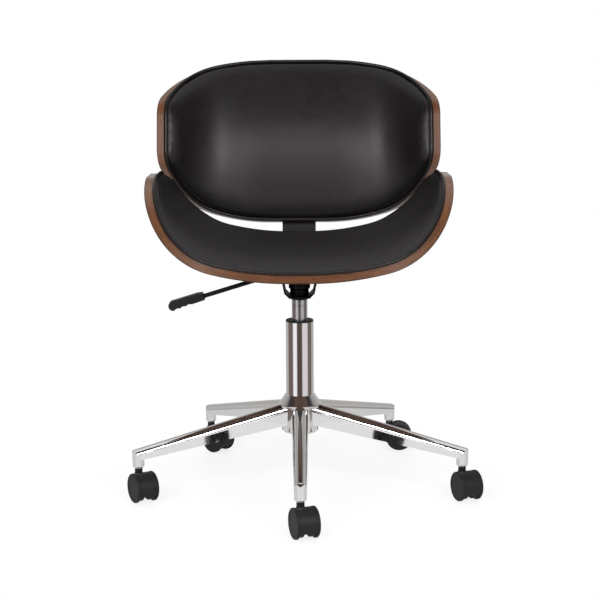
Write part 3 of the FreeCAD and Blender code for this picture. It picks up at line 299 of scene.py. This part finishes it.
class BentPanel:
    """A bent panel's sizes in metres, in its own frame: across, along, and off its outer face.

    From its middle outwards the bend has a flat, a wide sweep, a tight turn and a straight run out.
    The outline runs from start to end along the panel and slants up to rounded wings.
    """
    ply = 0.014
    veneers = 9

    def __init__(self, stand, flat, sweep, sweep_angle, turn, tip_angle, run_out,
                 start, end, wing, wing_radius, wing_angle):
        self.stand = stand
        self.flat, self.run_out = flat, run_out
        self.sweep, self.sweep_angle = sweep, sweep_angle
        self.turn, self.tip_angle = turn, tip_angle
        self.start, self.end = start, end
        self.wing, self.wing_radius, self.wing_angle = wing, wing_radius, wing_angle
        self.trace_bend()

    def turn_centre(self):
        across = self.flat + (self.sweep - self.turn) * sin(self.sweep_angle)
        return across, self.ply + self.sweep - (self.sweep - self.turn) * cos(self.sweep_angle)

    def trace_bend(self, count=60):
        # The inner face from the middle to the wing tip: angle, place across and off, length run.
        shallow = np.linspace(0, self.sweep_angle, count)
        tight = np.linspace(self.sweep_angle, self.tip_angle, count)[1:]
        across, off = self.turn_centre()
        self.angle = np.concatenate([[0], shallow, tight, [self.tip_angle]])
        self.across = np.concatenate([
            [0], self.flat + self.sweep * np.sin(shallow), across + self.turn * np.sin(tight), [0]])
        self.off = np.concatenate([
            [self.ply], self.ply + self.sweep * (1 - np.cos(shallow)),
            off - self.turn * np.cos(tight), [0]])
        self.across[-1] = self.across[-2] + self.run_out * cos(self.tip_angle)
        self.off[-1] = self.off[-2] + self.run_out * sin(self.tip_angle)
        steps = np.hypot(np.diff(self.across), np.diff(self.off))
        self.run = np.concatenate([[0], np.cumsum(steps)])

    def rim(self, inset):
        # A loop on the inner face, inset from the panel's edge: its run across and place along.
        front_points, slant_points, arc_points = 12, 40, 24
        heel = self.ply - min(inset, 0.0) * tan(self.wing_angle / 2)
        top = self.wing - inset
        radius = self.wing_radius - inset
        low = self.wing_radius - self.wing + self.ply
        centre = self.start + (self.wing_radius - low * sin(self.wing_angle)) / cos(self.wing_angle)
        front = self.start + inset
        brow = centre - radius * cos(self.wing_angle)
        shoulder = top - radius * (1 - sin(self.wing_angle))
        climb = np.linspace(0, 1, slant_points)[1:]
        arc = np.linspace(self.wing_angle, pi / 2, arc_points)[1:]
        height = np.concatenate([
            heel + climb * (shoulder - heel), top - radius + radius * np.sin(arc)])
        edge = np.interp(heel, self.off[1:], self.run[1:])
        run = np.concatenate([
            np.linspace(0, edge, front_points), np.interp(height, self.off[1:], self.run[1:])])
        along = np.concatenate([
            np.full(front_points, front), front + climb * (brow - front),
            centre - radius * np.cos(arc)])
        run = np.concatenate([run, run[::-1]])
        along = np.concatenate([along, self.start + self.end - along[::-1]])
        return np.concatenate([run, -run[-2:0:-1]]), np.concatenate([along, along[-2:0:-1]])

    def face(self, run, along, lift):
        # Places on the inner face, lifted off it.
        side = np.abs(run)
        angle = np.interp(side, self.run, self.angle)
        across = np.sign(run) * (np.interp(side, self.run, self.across) - lift * np.sin(angle))
        off = np.interp(side, self.run, self.off) + lift * np.cos(angle)
        spots = np.stack([across, along, off], 1)
        return spots @ np.array(self.stand.to_3x3()).T + np.array(self.stand.translation)


def walnut(name, panel):
    # Grain runs along the panel; depth through the bend gives the veneers at its sawn edge, and a
    # painted shade line along the edge's outer corner.
    layer_shift = 0.37
    corner_shade_half_width = 0.0009
    corner_shade_core = 0.0003
    finish = Finish(name)
    sockets = {"Vector": finish.place, "Location": panel.stand.translation,
               "Rotation": panel.stand.to_euler()}
    x, y, z = finish.axes(finish.node("ShaderNodeMapping", {"vector_type": "TEXTURE"}, sockets))
    side = abs(x)
    turn_x, turn_z = panel.turn_centre()
    past_flat = side - panel.flat
    shallow_x = past_flat.math("MAXIMUM", past_flat, 0.0)
    shallow_z = panel.ply + panel.sweep - z
    tight_x = side - turn_x
    tight_z = turn_z - z
    tight_angle = tight_x.math("ARCTAN2", tight_x, tight_z)
    in_turn = tight_angle > panel.sweep_angle
    shallow_depth = (shallow_x * shallow_x + shallow_z * shallow_z) ** 0.5 - panel.sweep
    tight_depth = (tight_x * tight_x + tight_z * tight_z) ** 0.5 - panel.turn
    depth = shallow_depth + in_turn * (tight_depth - shallow_depth)
    shallow_run = side.math("MINIMUM", side, panel.flat) + panel.sweep * shallow_x.math(
        "ARCTAN2", shallow_x, shallow_z)
    turn_start = panel.flat + panel.sweep * panel.sweep_angle
    tight_run = turn_start + panel.turn * (tight_angle - panel.sweep_angle)
    run = (shallow_run + in_turn * (tight_run - shallow_run)) * x.math("SIGN", x)
    layer = depth.math("FLOOR", depth * (panel.veneers / panel.ply) + 0.0001)
    sheet = layer * layer_shift
    board = finish.node("ShaderNodeCombineXYZ", {}, {"X": run, "Y": y, "Z": sheet})
    warp = finish.noise(5.0, 2.0, finish.stretched(1.6, 0.7, 1.0, board))
    bent = finish.node("ShaderNodeCombineXYZ", {}, {"X": run + 0.02 * warp, "Y": y, "Z": sheet})
    figure = finish.noise(1.0, 5.0, finish.stretched(42.0, 3.2, 3.0, bent), 0.62)
    pores = finish.noise(1.0, 3.0, finish.stretched(720.0, 26.0, 9.0, bent))
    ring = finish.node("ShaderNodeValToRGB", {"stops": (
        (0.28, rgb(0.09, 0.027, 0.0065)), (0.46, rgb(0.17, 0.054, 0.0125)),
        (0.62, rgb(0.235, 0.081, 0.0185)), (0.8, rgb(0.17, 0.051, 0.0115)))}, {"Fac": figure})
    dark_pore = finish.fade(pores, 0.42, 0.3)
    odd = layer.math("MODULO", layer, 2.0)
    stained = finish.mix(0.55 * dark_pore, ring, rgb(0.05, 0.017, 0.006))
    crossed = finish.mix(0.12 * odd, stained, rgb(0.06, 0.018, 0.0045))
    # Painted shade: a thin dark line just inside the outer face darkens the sawn edge's outer corner,
    # as a rounded corner in shade would look.
    painted_corner_shade = finish.fade(abs(depth - (panel.ply - corner_shade_half_width)), corner_shade_half_width, corner_shade_core)
    return finish.dress({
        "Base Color": finish.mix(painted_corner_shade, crossed, rgb(0.018, 0.006, 0.003)),
        "Roughness": 0.4 + 0.12 * figure + 0.1 * dark_pore,
        "Specular IOR Level": 0.6,
        "Coat Weight": 1.0,
        "Coat Roughness": 0.2,
        "Normal": finish.bump(pores, 0.00012, 0.35),
    })


seat = BentPanel(
    Matrix.Translation((0, 0, 0.403)), flat=0.0175, sweep=0.591, sweep_angle=radians(12.5),
    turn=0.136, tip_angle=radians(90), run_out=0.034,
    start=-0.225, end=0.235, wing=0.161, wing_radius=0.130, wing_angle=radians(43.4))
paint(walnut("seat_walnut", seat), "seat_shell")

# Seat pad: moulded foam under black grained faux leather, sewn to the piping and stuck down on the
# panel. The cover is swollen by a short cloth simulation that holds its underside and its rim.


def hide():
    finish = Finish("black_hide")
    cells = finish.node("ShaderNodeTexVoronoi", {"feature": "DISTANCE_TO_EDGE"},
                        {"Vector": finish.place, "Scale": 520.0})
    creases = finish.fade(cells, 0.0, 0.22)
    hills = finish.noise(190.0, 3.0)
    cloud = finish.noise(7.0, 3.0)
    mottle = finish.noise(85.0, 4.0)
    height = 0.7 * creases + 0.5 * hills
    return finish.dress({
        "Base Color": finish.mix(cloud, rgb(0.0062, 0.0052, 0.005), rgb(0.009, 0.0076, 0.0073)),
        "Roughness": 0.25 + 0.1 * cloud + 0.14 * mottle - 0.04 * creases,
        "Specular IOR Level": 0.5,
        "Specular Tint": rgb(1.0, 0.94, 0.95),
        "Normal": finish.bump(height, 0.00011, 0.6),
    })


def link(piece):
    bpy.context.scene.collection.objects.link(piece)
    return piece


def settle(piece):
    # Turns a piece and its modifiers into a plain mesh.
    graph = bpy.context.evaluated_depsgraph_get()
    mesh = bpy.data.meshes.new_from_object(piece.evaluated_get(graph))
    piece.modifiers.clear()
    piece.data = mesh


def solid_tree(node):
    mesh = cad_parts[node].data
    return BVHTree.FromPolygons([v.co for v in mesh.vertices], [p.vertices for p in mesh.polygons])


def pad_blank(name, panel, node, inset, rise, profile, crown, tail, cheek):
    # A closed pillow on the panel: rings from the seam inwards, as high as the moulded foam, rising
    # at the seam by the profile's shares of that height, and the same rings on the panel for its
    # underside. The crown lifts the middle, the tail fills the far edge, the cheeks fill its bends.
    inner_rings = 24
    reach = 0.08
    gap = 0.0003
    least_foam = 0.01
    half_step = 0.1
    cheek_start = 0.02
    cheek_width = 0.38
    foam = solid_tree(node)
    middle = (panel.start + panel.end) / 2

    def far_share(along):
        # 0 on the pad's near half and 1 on its far half, with a smooth step at the middle.
        return (1 + np.sin(np.clip((along - middle) / half_step, -1, 1) * pi / 2)) / 2

    rings = [panel.rim(inset + depth) for depth, _ in profile]
    run, along = rings[-1]
    parts = np.linspace(1, 0, inner_rings)[:-1]
    rings += [(run * part, middle + (along - middle) * part) for part in parts[1:]]
    tops = []
    for (run, along), part in zip(rings[len(profile) - 1:], parts):
        far = panel.face(run, along + rise, reach)
        near = panel.face(run, along + rise, 0.0)
        ways = [Vector(b - a).normalized() for a, b in zip(far, near)]
        hits = [foam.ray_cast(Vector(a), way)[3] for a, way in zip(far, ways)]
        top = np.array([least_foam if hit is None else reach - hit for hit in hits])
        bend = np.sin(np.clip((np.abs(run) - cheek_start) / cheek_width, 0, 1) * pi) ** 2
        tops.append(top * (1 + crown * (1 - part ** 2)) + cheek * bend * far_share(along))
    far_edge = tail * far_share(rings[len(profile) - 1][1])
    tops = [tops[0] * (share + (1 - share) * far_edge) for _, share in profile[:-1]] + tops
    count = len(rings[0][0])
    total = len(rings)
    spots = [panel.face(run, along + rise, top) for (run, along), top in zip(rings, tops)]
    spots += [panel.face(run, along + rise, gap) for run, along in rings]
    heart = np.array([middle + rise])
    spots += [panel.face(np.zeros(1), heart, lift) for lift in (tops[-1].mean(), gap)]
    faces = []
    for layer in range(2):
        for ring in range(total - 1):
            a = (layer * total + ring) * count
            faces += [(a + i, a + (i + 1) % count, a + count + (i + 1) % count, a + count + i)
                      for i in range(count)]
        a = (layer * total + total - 1) * count
        faces += [(a + i, a + (i + 1) % count, 2 * total * count + layer) for i in range(count)]
    under = total * count
    faces += [(i, (i + 1) % count, under + (i + 1) % count, under + i) for i in range(count)]
    mesh = bpy.data.meshes.new(name)
    mesh.from_pydata(np.concatenate(spots), [], faces)
    shell = bmesh.new()
    shell.from_mesh(mesh)
    bmesh.ops.recalc_face_normals(shell, faces=shell.faces)
    shell.to_mesh(mesh)
    shell.free()
    return link(bpy.data.objects.new(name, mesh))


def points_of(mesh):
    places = np.empty(len(mesh.vertices) * 3)
    mesh.vertices.foreach_get("co", places)
    return places.reshape(-1, 3)


def soften(body, corners, rounds):
    for _ in range(rounds):
        bmesh.ops.smooth_vert(body, verts=corners, factor=0.5,
                              use_axis_x=True, use_axis_y=True, use_axis_z=True)


def even_out(mesh, moved, held, rounds):
    # Spreads each corner's move over its neighbours, so that the cover swells without puckers.
    ends = np.empty(len(mesh.edges) * 2, dtype=np.int32)
    mesh.edges.foreach_get("vertices", ends)
    one, two = ends.reshape(-1, 2).T
    count = len(mesh.vertices)
    near = np.bincount(one, minlength=count) + np.bincount(two, minlength=count)
    for _ in range(rounds):
        for axis in range(3):
            part = moved[:, axis]
            total = np.bincount(one, part[two], count) + np.bincount(two, part[one], count)
            moved[:, axis] = 0.5 * part + 0.5 * total / near
        moved[held] = 0.0
    return moved


def swell(piece, held):
    # Blows the cover up like a cushion while the held corners stay, and gives every corner's move.
    frames = 20
    piece.vertex_groups.new(name="held").add(held, 1.0, "REPLACE")
    cloth = piece.modifiers.new("swell", "CLOTH")
    cloth.settings.quality = 5
    cloth.settings.mass = 0.3
    cloth.settings.tension_stiffness = 15
    cloth.settings.compression_stiffness = 15
    cloth.settings.use_pressure = True
    cloth.settings.uniform_pressure_force = 4
    cloth.settings.vertex_group_mass = "held"
    cloth.settings.effector_weights.gravity = 0
    cloth.collision_settings.use_collision = False
    before = points_of(piece.data)
    for step in range(1, frames + 1):
        bpy.context.scene.frame_set(step)
    settle(piece)
    bpy.context.scene.frame_set(1)
    return before, points_of(piece.data) - before


def foam_pad(name, panel, node, shell, inset, rise, profile, crown=0.0, tail=0.0, cheek=0.0):
    voxel = 0.0052
    stuck = 0.003
    edge_depth = 0.012
    open_height = 0.014
    drawn_in = 0.004
    swelling = 0.008
    swollen_part = 98
    seam_inset = inset + 1.2 * welt_radius
    piece = pad_blank(name, panel, node, seam_inset, rise, profile, crown, tail, cheek)
    remesh = piece.modifiers.new("voxels", "REMESH")
    remesh.mode = "VOXEL"
    remesh.voxel_size = voxel
    settle(piece)
    under = solid_tree(shell)
    body = bmesh.new()
    body.from_mesh(piece.data)
    gaps = [under.find_nearest(corner.co)[3] for corner in body.verts]
    loose = [corner for corner, gap in zip(body.verts, gaps) if gap > stuck]
    held = [corner.index for corner, gap in zip(body.verts, gaps) if gap <= stuck]
    soften(body, loose, rounds=4)
    body.normal_update()
    for corner in loose:
        share = min((gaps[corner.index] - stuck) / edge_depth, 1.0)
        corner.co -= corner.normal * drawn_in * share
    body.to_mesh(piece.data)
    body.free()
    before, moved = swell(piece, held)
    moved = even_out(piece.data, moved, held, rounds=30)
    moved *= swelling / np.percentile(np.linalg.norm(moved, axis=1), swollen_part)
    length = np.linalg.norm(moved, axis=1, keepdims=True)
    moved *= np.minimum(1.0, swelling / np.maximum(length, 1e-9))
    piece.data.vertices.foreach_set("co", (before + moved).ravel())
    body = bmesh.new()
    body.from_mesh(piece.data)
    body.verts.ensure_lookup_table()
    fixed = set(held)
    free = [corner for corner in body.verts if corner.index not in fixed]
    soften(body, free, rounds=5)
    crest = [corner for corner in body.verts if gaps[corner.index] > open_height]
    soften(body, crest, rounds=40)
    body.to_mesh(piece.data)
    body.free()
    for polygon in piece.data.polygons:
        polygon.use_smooth = True
    piece.data.materials.clear()
    piece.data.materials.append(black_hide)
    smooth = piece.modifiers.new("smooth", "SUBSURF")
    smooth.levels = 1
    smooth.render_levels = 1
    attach(piece, "seat")
    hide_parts(node)
    return piece


black_hide = hide()
welt_radius = 0.0033
seat_trim = (-0.0045, 0.0)
seat_profile = (
    (0.0, 0.12), (0.003, 0.3), (0.007, 0.4), (0.013, 0.49), (0.02, 0.57), (0.028, 0.645),
    (0.038, 0.725), (0.05, 0.81), (0.065, 0.895), (0.08, 0.96), (0.1, 1.0))
seat_cover = foam_pad("seat_cover", seat, "seat_pad", "seat_shell", *seat_trim, seat_profile,
                      crown=0.23, tail=0.75, cheek=0.006)

# Seat piping and topstitch: a cord wrapped in the cover leather and sewn into the seam all round the
# pad, lying on the panel's edge, and a row of stitches that holds the seam flat inside it.


class Maker(Graph):
    """A Geometry Nodes tree under construction, with named inputs."""

    def __init__(self, name, inputs):
        super().__init__(bpy.data.node_groups.new(name, "GeometryNodeTree"))
        sockets = self.tree.interface
        sockets.new_socket("Path", in_out="INPUT", socket_type="NodeSocketGeometry")
        for label, kind in inputs.items():
            sockets.new_socket(label, in_out="INPUT", socket_type="NodeSocket" + kind)
        sockets.new_socket("Made", in_out="OUTPUT", socket_type="NodeSocketGeometry")
        self.given = self.tree.nodes.new("NodeGroupInput")

    def take(self, label):
        return Wire(self, self.given.outputs[label])

    def give(self, geometry):
        real = self.node("GeometryNodeRealizeInstances", {}, {"Geometry": geometry})
        smooth = self.node("GeometryNodeSetShadeSmooth", {}, {"Geometry": real})
        done = self.node("GeometryNodeSetMaterial", {},
                         {"Geometry": smooth, "Material": self.take("Material")})
        self.feed(self.tree.nodes.new("NodeGroupOutput"), {"Made": done})
        return self

    def make(self, piece, values):
        modifier = piece.modifiers.new(self.tree.name, "NODES")
        modifier.node_group = self.tree
        for item in self.tree.interface.items_tree:
            if item.name in values:
                modifier[item.identifier] = values[item.name]
        settle(piece)
        return piece


def piping_maker():
    maker = Maker("piping", {"Radius": "Float", "Step": "Float", "Material": "Material"})
    line = maker.node("GeometryNodeMeshToCurve", {}, {"Mesh": maker.take("Path")})
    even = maker.node("GeometryNodeResampleCurve", {"mode": "LENGTH"},
                      {"Curve": line, "Length": maker.take("Step")})
    ring = maker.node("GeometryNodeCurvePrimitiveCircle", {"mode": "RADIUS"},
                      {"Resolution": 14, "Radius": maker.take("Radius")})
    cord = maker.node("GeometryNodeCurveToMesh", {}, {"Curve": even, "Profile Curve": ring})
    return maker.give(cord)


def stitch_maker():
    maker = Maker("topstitch", {"Pitch": "Float", "Length": "Float", "Thread": "Float",
                                "Cover": "Object", "Material": "Material"})
    line = maker.node("GeometryNodeMeshToCurve", {}, {"Mesh": maker.take("Path")})
    even = maker.node("GeometryNodeResampleCurve", {"mode": "LENGTH"},
                      {"Curve": line, "Length": maker.take("Pitch")})
    cover = maker.node("GeometryNodeObjectInfo", {}, {"Object": maker.take("Cover")},
                       output="Geometry")
    on_cover = maker.node("GeometryNodeProximity", {"target_element": "FACES"}, {"Geometry": cover})
    laid = maker.node("GeometryNodeSetPosition", {}, {"Geometry": even, "Position": on_cover})
    thread = maker.node("GeometryNodeMeshUVSphere", {}, {"Segments": 8, "Rings": 6, "Radius": 0.5})
    shape = maker.node("ShaderNodeCombineXYZ", {}, {
        "X": maker.take("Length"), "Y": maker.take("Thread"), "Z": maker.take("Thread")})
    stitch = maker.node("GeometryNodeTransform", {}, {"Geometry": thread, "Scale": shape})
    tangent = maker.node("GeometryNodeInputTangent")
    turned = maker.node("FunctionNodeAlignRotationToVector", {"axis": "X"}, {"Vector": tangent})
    return maker.give(maker.node("GeometryNodeInstanceOnPoints", {}, {
        "Points": laid, "Instance": stitch, "Rotation": turned}))


def thread_black():
    finish = Finish("black_thread")
    twist = finish.noise(2600.0, 2.0)
    return finish.dress({
        "Base Color": finish.mix(twist, rgb(0.012, 0.0115, 0.0118), rgb(0.03, 0.0285, 0.029)),
        "Roughness": 0.5 + 0.15 * twist,
        "Normal": finish.bump(twist, 0.0001, 0.5),
    })


def loop_object(name, points):
    mesh = bpy.data.meshes.new(name)
    count = len(points)
    mesh.from_pydata(points, [(i, (i + 1) % count) for i in range(count)], [])
    return link(bpy.data.objects.new(name, mesh))


piping = piping_maker()
topstitch = stitch_maker()
black_thread = thread_black()
piping_gap = 0.0003
seam_width = 2 * welt_radius + piping_gap
piping_step = 0.004
stitch_inset = 0.005
stitch_lift = 0.018
stitch_sizes = {"Pitch": 0.0052, "Length": 0.0036, "Thread": 0.0009}


def trim(name, panel, node, cover, inset, rise):
    run, along = panel.rim(inset + welt_radius)
    welt = loop_object(name + "_piping", panel.face(run, along + rise, welt_radius + piping_gap))
    piping.make(welt, {"Radius": welt_radius, "Step": piping_step, "Material": black_hide})
    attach(welt, "seat")
    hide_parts(node)
    run, along = panel.rim(inset + seam_width + stitch_inset)
    seam = loop_object(name + "_topstitch", panel.face(run, along + rise, stitch_lift))
    topstitch.make(seam, {**stitch_sizes, "Cover": cover, "Material": black_thread})
    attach(seam, "seat")


trim("seat", seat, "seat_welt", seat_cover, *seat_trim)

# Back panel, pad and trim: the same walnut-faced ply bent to a shallower U, leaning back on the
# bracket, with a firm pad set slightly high on it so that its leather covers the upper edge.
back_lean = 14
back = BentPanel(
    Matrix.Translation((0, 0.265, 0.449)) @ Matrix.Rotation(radians(90 - back_lean), 4, "X"),
    flat=0.0535, sweep=0.409, sweep_angle=radians(15),
    turn=0.136, tip_angle=radians(75), run_out=0.022,
    start=0.0, end=0.3165, wing=0.120, wing_radius=0.055, wing_angle=radians(44.5))
paint(walnut("back_walnut", back), "back_shell")
back_trim = (-0.001, 0.001)
back_profile = (
    (0.0, 0.2), (0.002, 0.5), (0.005, 0.74), (0.009, 0.85), (0.016, 0.92), (0.026, 0.965),
    (0.04, 1.0))
back_cover = foam_pad("back_cover", back, "back_pad", "back_shell", *back_trim, back_profile)
trim("back", back, "back_welt", back_cover, *back_trim)

# Screws: black oxide button heads with hexagon sockets, which hold the seat plate and the bracket to
# tee nuts in the panels.


def screw_maker():
    dome_share = 0.68
    key_share = 0.9
    maker = Maker("button_screws", {"Head": "Float", "Height": "Float", "Shank": "Float",
                                    "Length": "Float", "Key": "Float", "Material": "Material"})
    head = maker.take("Head")
    height = maker.take("Height")
    dome = maker.node("GeometryNodeMeshCone", {}, {
        "Vertices": 32, "Side Segments": 3, "Radius Top": head * dome_share,
        "Radius Bottom": head, "Depth": height})
    key = maker.node("GeometryNodeMeshCylinder", {}, {
        "Vertices": 6, "Radius": maker.take("Key"), "Depth": height})
    raised = maker.node("ShaderNodeCombineXYZ", {}, {"Z": height * key_share})
    socket = maker.node("GeometryNodeTransform", {}, {"Geometry": key, "Translation": raised})
    drilled = maker.node("GeometryNodeMeshBoolean", {"operation": "DIFFERENCE"},
                         {"Mesh 1": dome, "Mesh 2": socket})
    rod = maker.node("GeometryNodeMeshCylinder", {}, {
        "Vertices": 20, "Radius": maker.take("Shank"), "Depth": maker.take("Length")})
    sunk = maker.node("ShaderNodeCombineXYZ", {}, {"Z": maker.take("Length") * -0.5})
    shank = maker.node("GeometryNodeTransform", {}, {"Geometry": rod, "Translation": sunk})
    screw = maker.node("GeometryNodeJoinGeometry", {}, {"Geometry": [drilled, shank]})
    way = maker.node("GeometryNodeInputNamedAttribute", {"data_type": "FLOAT_VECTOR"},
                     {"Name": "way"})
    turned = maker.node("FunctionNodeAlignRotationToVector", {"axis": "Z"}, {"Vector": way})
    return maker.give(maker.node("GeometryNodeInstanceOnPoints", {}, {
        "Points": maker.take("Path"), "Instance": screw, "Rotation": turned}))


def black_oxide():
    finish = Finish("black_screws")
    rub = finish.noise(240.0, 3.0)
    return finish.dress({
        "Base Color": finish.mix(rub, rgb(0.03, 0.029, 0.03), rgb(0.075, 0.074, 0.076)),
        "Metallic": 0.85,
        "Roughness": 0.3 + 0.2 * rub,
        "Normal": finish.bump(rub, 0.00004, 0.5),
    })


screws = screw_maker()
black_screws = black_oxide()
screw_sizes = {"Head": 0.0055, "Height": 0.0036, "Shank": 0.003, "Key": 0.0023}
screw_grip = 0.011


def screw_row(name, node, panel, spots, seat_depth):
    mesh = bpy.data.meshes.new(name)
    mesh.from_pydata([panel.stand @ Vector((x, y, -seat_depth)) for x, y in spots], [], [])
    away = panel.stand.to_3x3() @ Vector((0, 0, -1))
    way = mesh.attributes.new("way", "FLOAT_VECTOR", "POINT")
    way.data.foreach_set("vector", [part for _ in spots for part in away])
    row = link(bpy.data.objects.new(name, mesh))
    screws.make(row, {**screw_sizes, "Length": seat_depth + screw_grip, "Material": black_screws})
    for polygon in row.data.polygons:
        polygon.use_smooth = False
    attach(row, "seat")
    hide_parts(node)


sides = (-1, 1)
plate_thickness = 0.006
bracket_thickness = 0.006
bracket_reach = 0.017
plate_bolts = [(x * 0.048, y * 0.070) for x in sides for y in sides]
screw_row("plate_screws", "plate_bolts", seat, plate_bolts, plate_thickness)
seat_bolts = [(x * bracket_reach, y) for x in sides for y in (0.122, 0.176)]
screw_row("bracket_seat_screws", "bracket_seat_bolts", seat, seat_bolts, bracket_thickness)
back_bolts = [(x * bracket_reach, y) for x in sides for y in (0.044, 0.098)]
screw_row("bracket_back_screws", "bracket_back_bolts", back, back_bolts, bracket_thickness)

# Studio: a white cove with a soft lamp in front on each side and a wide one overhead, and the camera.
# Chrome sees the dark gaps between pale screens as upright bands; the floor keeps the soft shadow.


def grey(level):
    return rgb(level, level, level)


def ray_kinds(graph):
    # Wires that single out the camera's rays, and rays that a piece mirrors or lets through.
    rays = graph.node("ShaderNodeLightPath").socket.node
    camera_ray, glossy_ray, through_ray = (
        Wire(graph, rays.outputs["Is %s Ray" % kind]) for kind in ("Camera", "Glossy", "Transmission"))
    return camera_ray, glossy_ray.math("MAXIMUM", glossy_ray, through_ray)


black = grey(0.0)
white = grey(1.0)


def studio_world():
    world = bpy.data.worlds.new("studio")
    world.use_nodes = True
    graph = Graph(world.node_tree)
    x, y, z = graph.axes(graph.node("ShaderNodeTexCoord", output="Generated"))
    # The ramps run over the turn round the chair, 0.5 in front, and over the sine of elevation, z.
    turn = 0.5 + x.math("ARCTAN2", x, -y) / (2 * pi)
    front_dark = rgb(0.085, 0.066, 0.055)
    side_dark = rgb(0.15, 0.12, 0.105)
    rear_pale = rgb(0.52, 0.51, 0.5)
    bands = graph.node("ShaderNodeValToRGB", {"stops": (
        (0.0, rear_pale), (0.185, rgb(0.44, 0.43, 0.42)), (0.215, side_dark), (0.330, side_dark),
        (0.352, rgb(0.88, 0.86, 0.87)), (0.424, rgb(0.86, 0.84, 0.85)),
        (0.446, front_dark), (0.545, front_dark),
        (0.570, rgb(0.68, 0.65, 0.67)), (0.680, rgb(0.64, 0.61, 0.63)),
        (0.705, side_dark), (0.790, side_dark), (0.83, rgb(0.42, 0.41, 0.41)),
        (1.0, rear_pale))}, {"Fac": turn})
    behind = graph.fade(y, -0.15, 0.35)
    rear = graph.node("ShaderNodeValToRGB", {"stops": (
        (0.1, rgb(0.5, 0.49, 0.48)), (0.3, rgb(0.42, 0.41, 0.4)), (0.5, rgb(0.32, 0.31, 0.305)),
        (0.6, rgb(0.44, 0.43, 0.42)), (0.68, rgb(0.36, 0.35, 0.345)), (0.77, rgb(0.1, 0.09, 0.09)),
        (1.0, rgb(0.07, 0.065, 0.064)))}, {"Fac": z})
    above = graph.mix(behind, rgb(0.045, 0.04, 0.039), rear)
    panels = graph.node("ShaderNodeValToRGB", {"stops": (
        (0.33, black), (0.36, white), (0.43, white), (0.46, black),
        (0.54, black), (0.57, white), (0.64, white), (0.67, black))}, {"Fac": turn})
    panel_glow = graph.fade(z, -0.05, -0.02) * graph.fade(z, 0.1, 0.06)
    walls = graph.mix(graph.fade(z, 0.02, 0.2), bands, above)
    upper = graph.mix(panels * panel_glow, walls, rgb(1.15, 1.12, 1.12))
    seen = graph.mix(graph.fade(z, -0.5, -0.7), upper, rgb(0.55, 0.54, 0.53))
    camera_ray, mirror_ray = ray_kinds(graph)
    soft = graph.mix(graph.fade(z, -0.15, 0.05), grey(0.08), rgb(0.27, 0.27, 0.273))
    shown = graph.mix(camera_ray, graph.mix(mirror_ray, soft, seen), white)
    graph.feed(world.node_tree.nodes["Background"], {"Color": shown})
    bpy.context.scene.world = world


def softbox(name, spot, aim, width, height, power):
    lamp = bpy.data.lights.new(name, "AREA")
    lamp.shape = "RECTANGLE"
    lamp.size = width
    lamp.size_y = height
    lamp.energy = power
    holder = link(bpy.data.objects.new(name, lamp))
    holder.location = spot
    holder.rotation_euler = (Vector(aim) - Vector(spot)).to_track_quat("-Z", "Y").to_euler()


def studio_floor():
    finish = Finish("studio_floor")
    camera_ray, mirror_ray = ray_kinds(finish)
    tone = finish.noise(3.0, 2.0)
    radius = 0.66
    x, y, _ = finish.axes(finish.place)
    rim = finish.fade((x * x + y * y) ** 0.5, 0.66 * radius, 0.96 * radius)
    glow = finish.mix(rim, grey(0.79), white)
    mirrored = finish.mix(mirror_ray, black, grey(0.38))
    material = finish.dress({
        "Base Color": finish.mix(tone, grey(0.31), grey(0.33)),
        "Roughness": 0.5,
        "Specular IOR Level": 0.25,
        "Emission Color": finish.mix(camera_ray, mirrored, glow),
        "Emission Strength": 1.0,
    })
    mesh = bpy.data.meshes.new("studio_floor")
    disc = bmesh.new()
    bmesh.ops.create_circle(disc, cap_ends=True, segments=96, radius=radius)
    disc.to_mesh(mesh)
    disc.free()
    mesh.materials.append(material)
    floor = link(bpy.data.objects.new("studio_floor", mesh))
    floor.location.z = -0.0005


studio_world()
studio_floor()
back_pad_middle = (0, 0.2, 0.6)
for side, x in (("left", -1.22), ("right", 1.22)):
    softbox(side + "_softbox", (x, -2.42, 1.56), back_pad_middle, width=1.5, height=0.75, power=32)
softbox("top_softbox", (0, 0.3, 2.9), (0, 0, 0.3), width=3.0, height=3.0, power=18)

camera = bpy.data.cameras.new("camera")
camera.lens = 91.28
camera.sensor_width = 36
viewer = link(bpy.data.objects.new("camera", camera))
viewer.location = (0.0009, -2.6922, 0.78708)
tilt = Matrix.Rotation(radians(80.5545), 3, "X") @ Matrix.Rotation(radians(-0.3), 3, "Z")
viewer.rotation_euler = tilt.to_euler()
bpy.context.scene.camera = viewer
bpy.context.scene.view_settings.view_transform = "Standard"
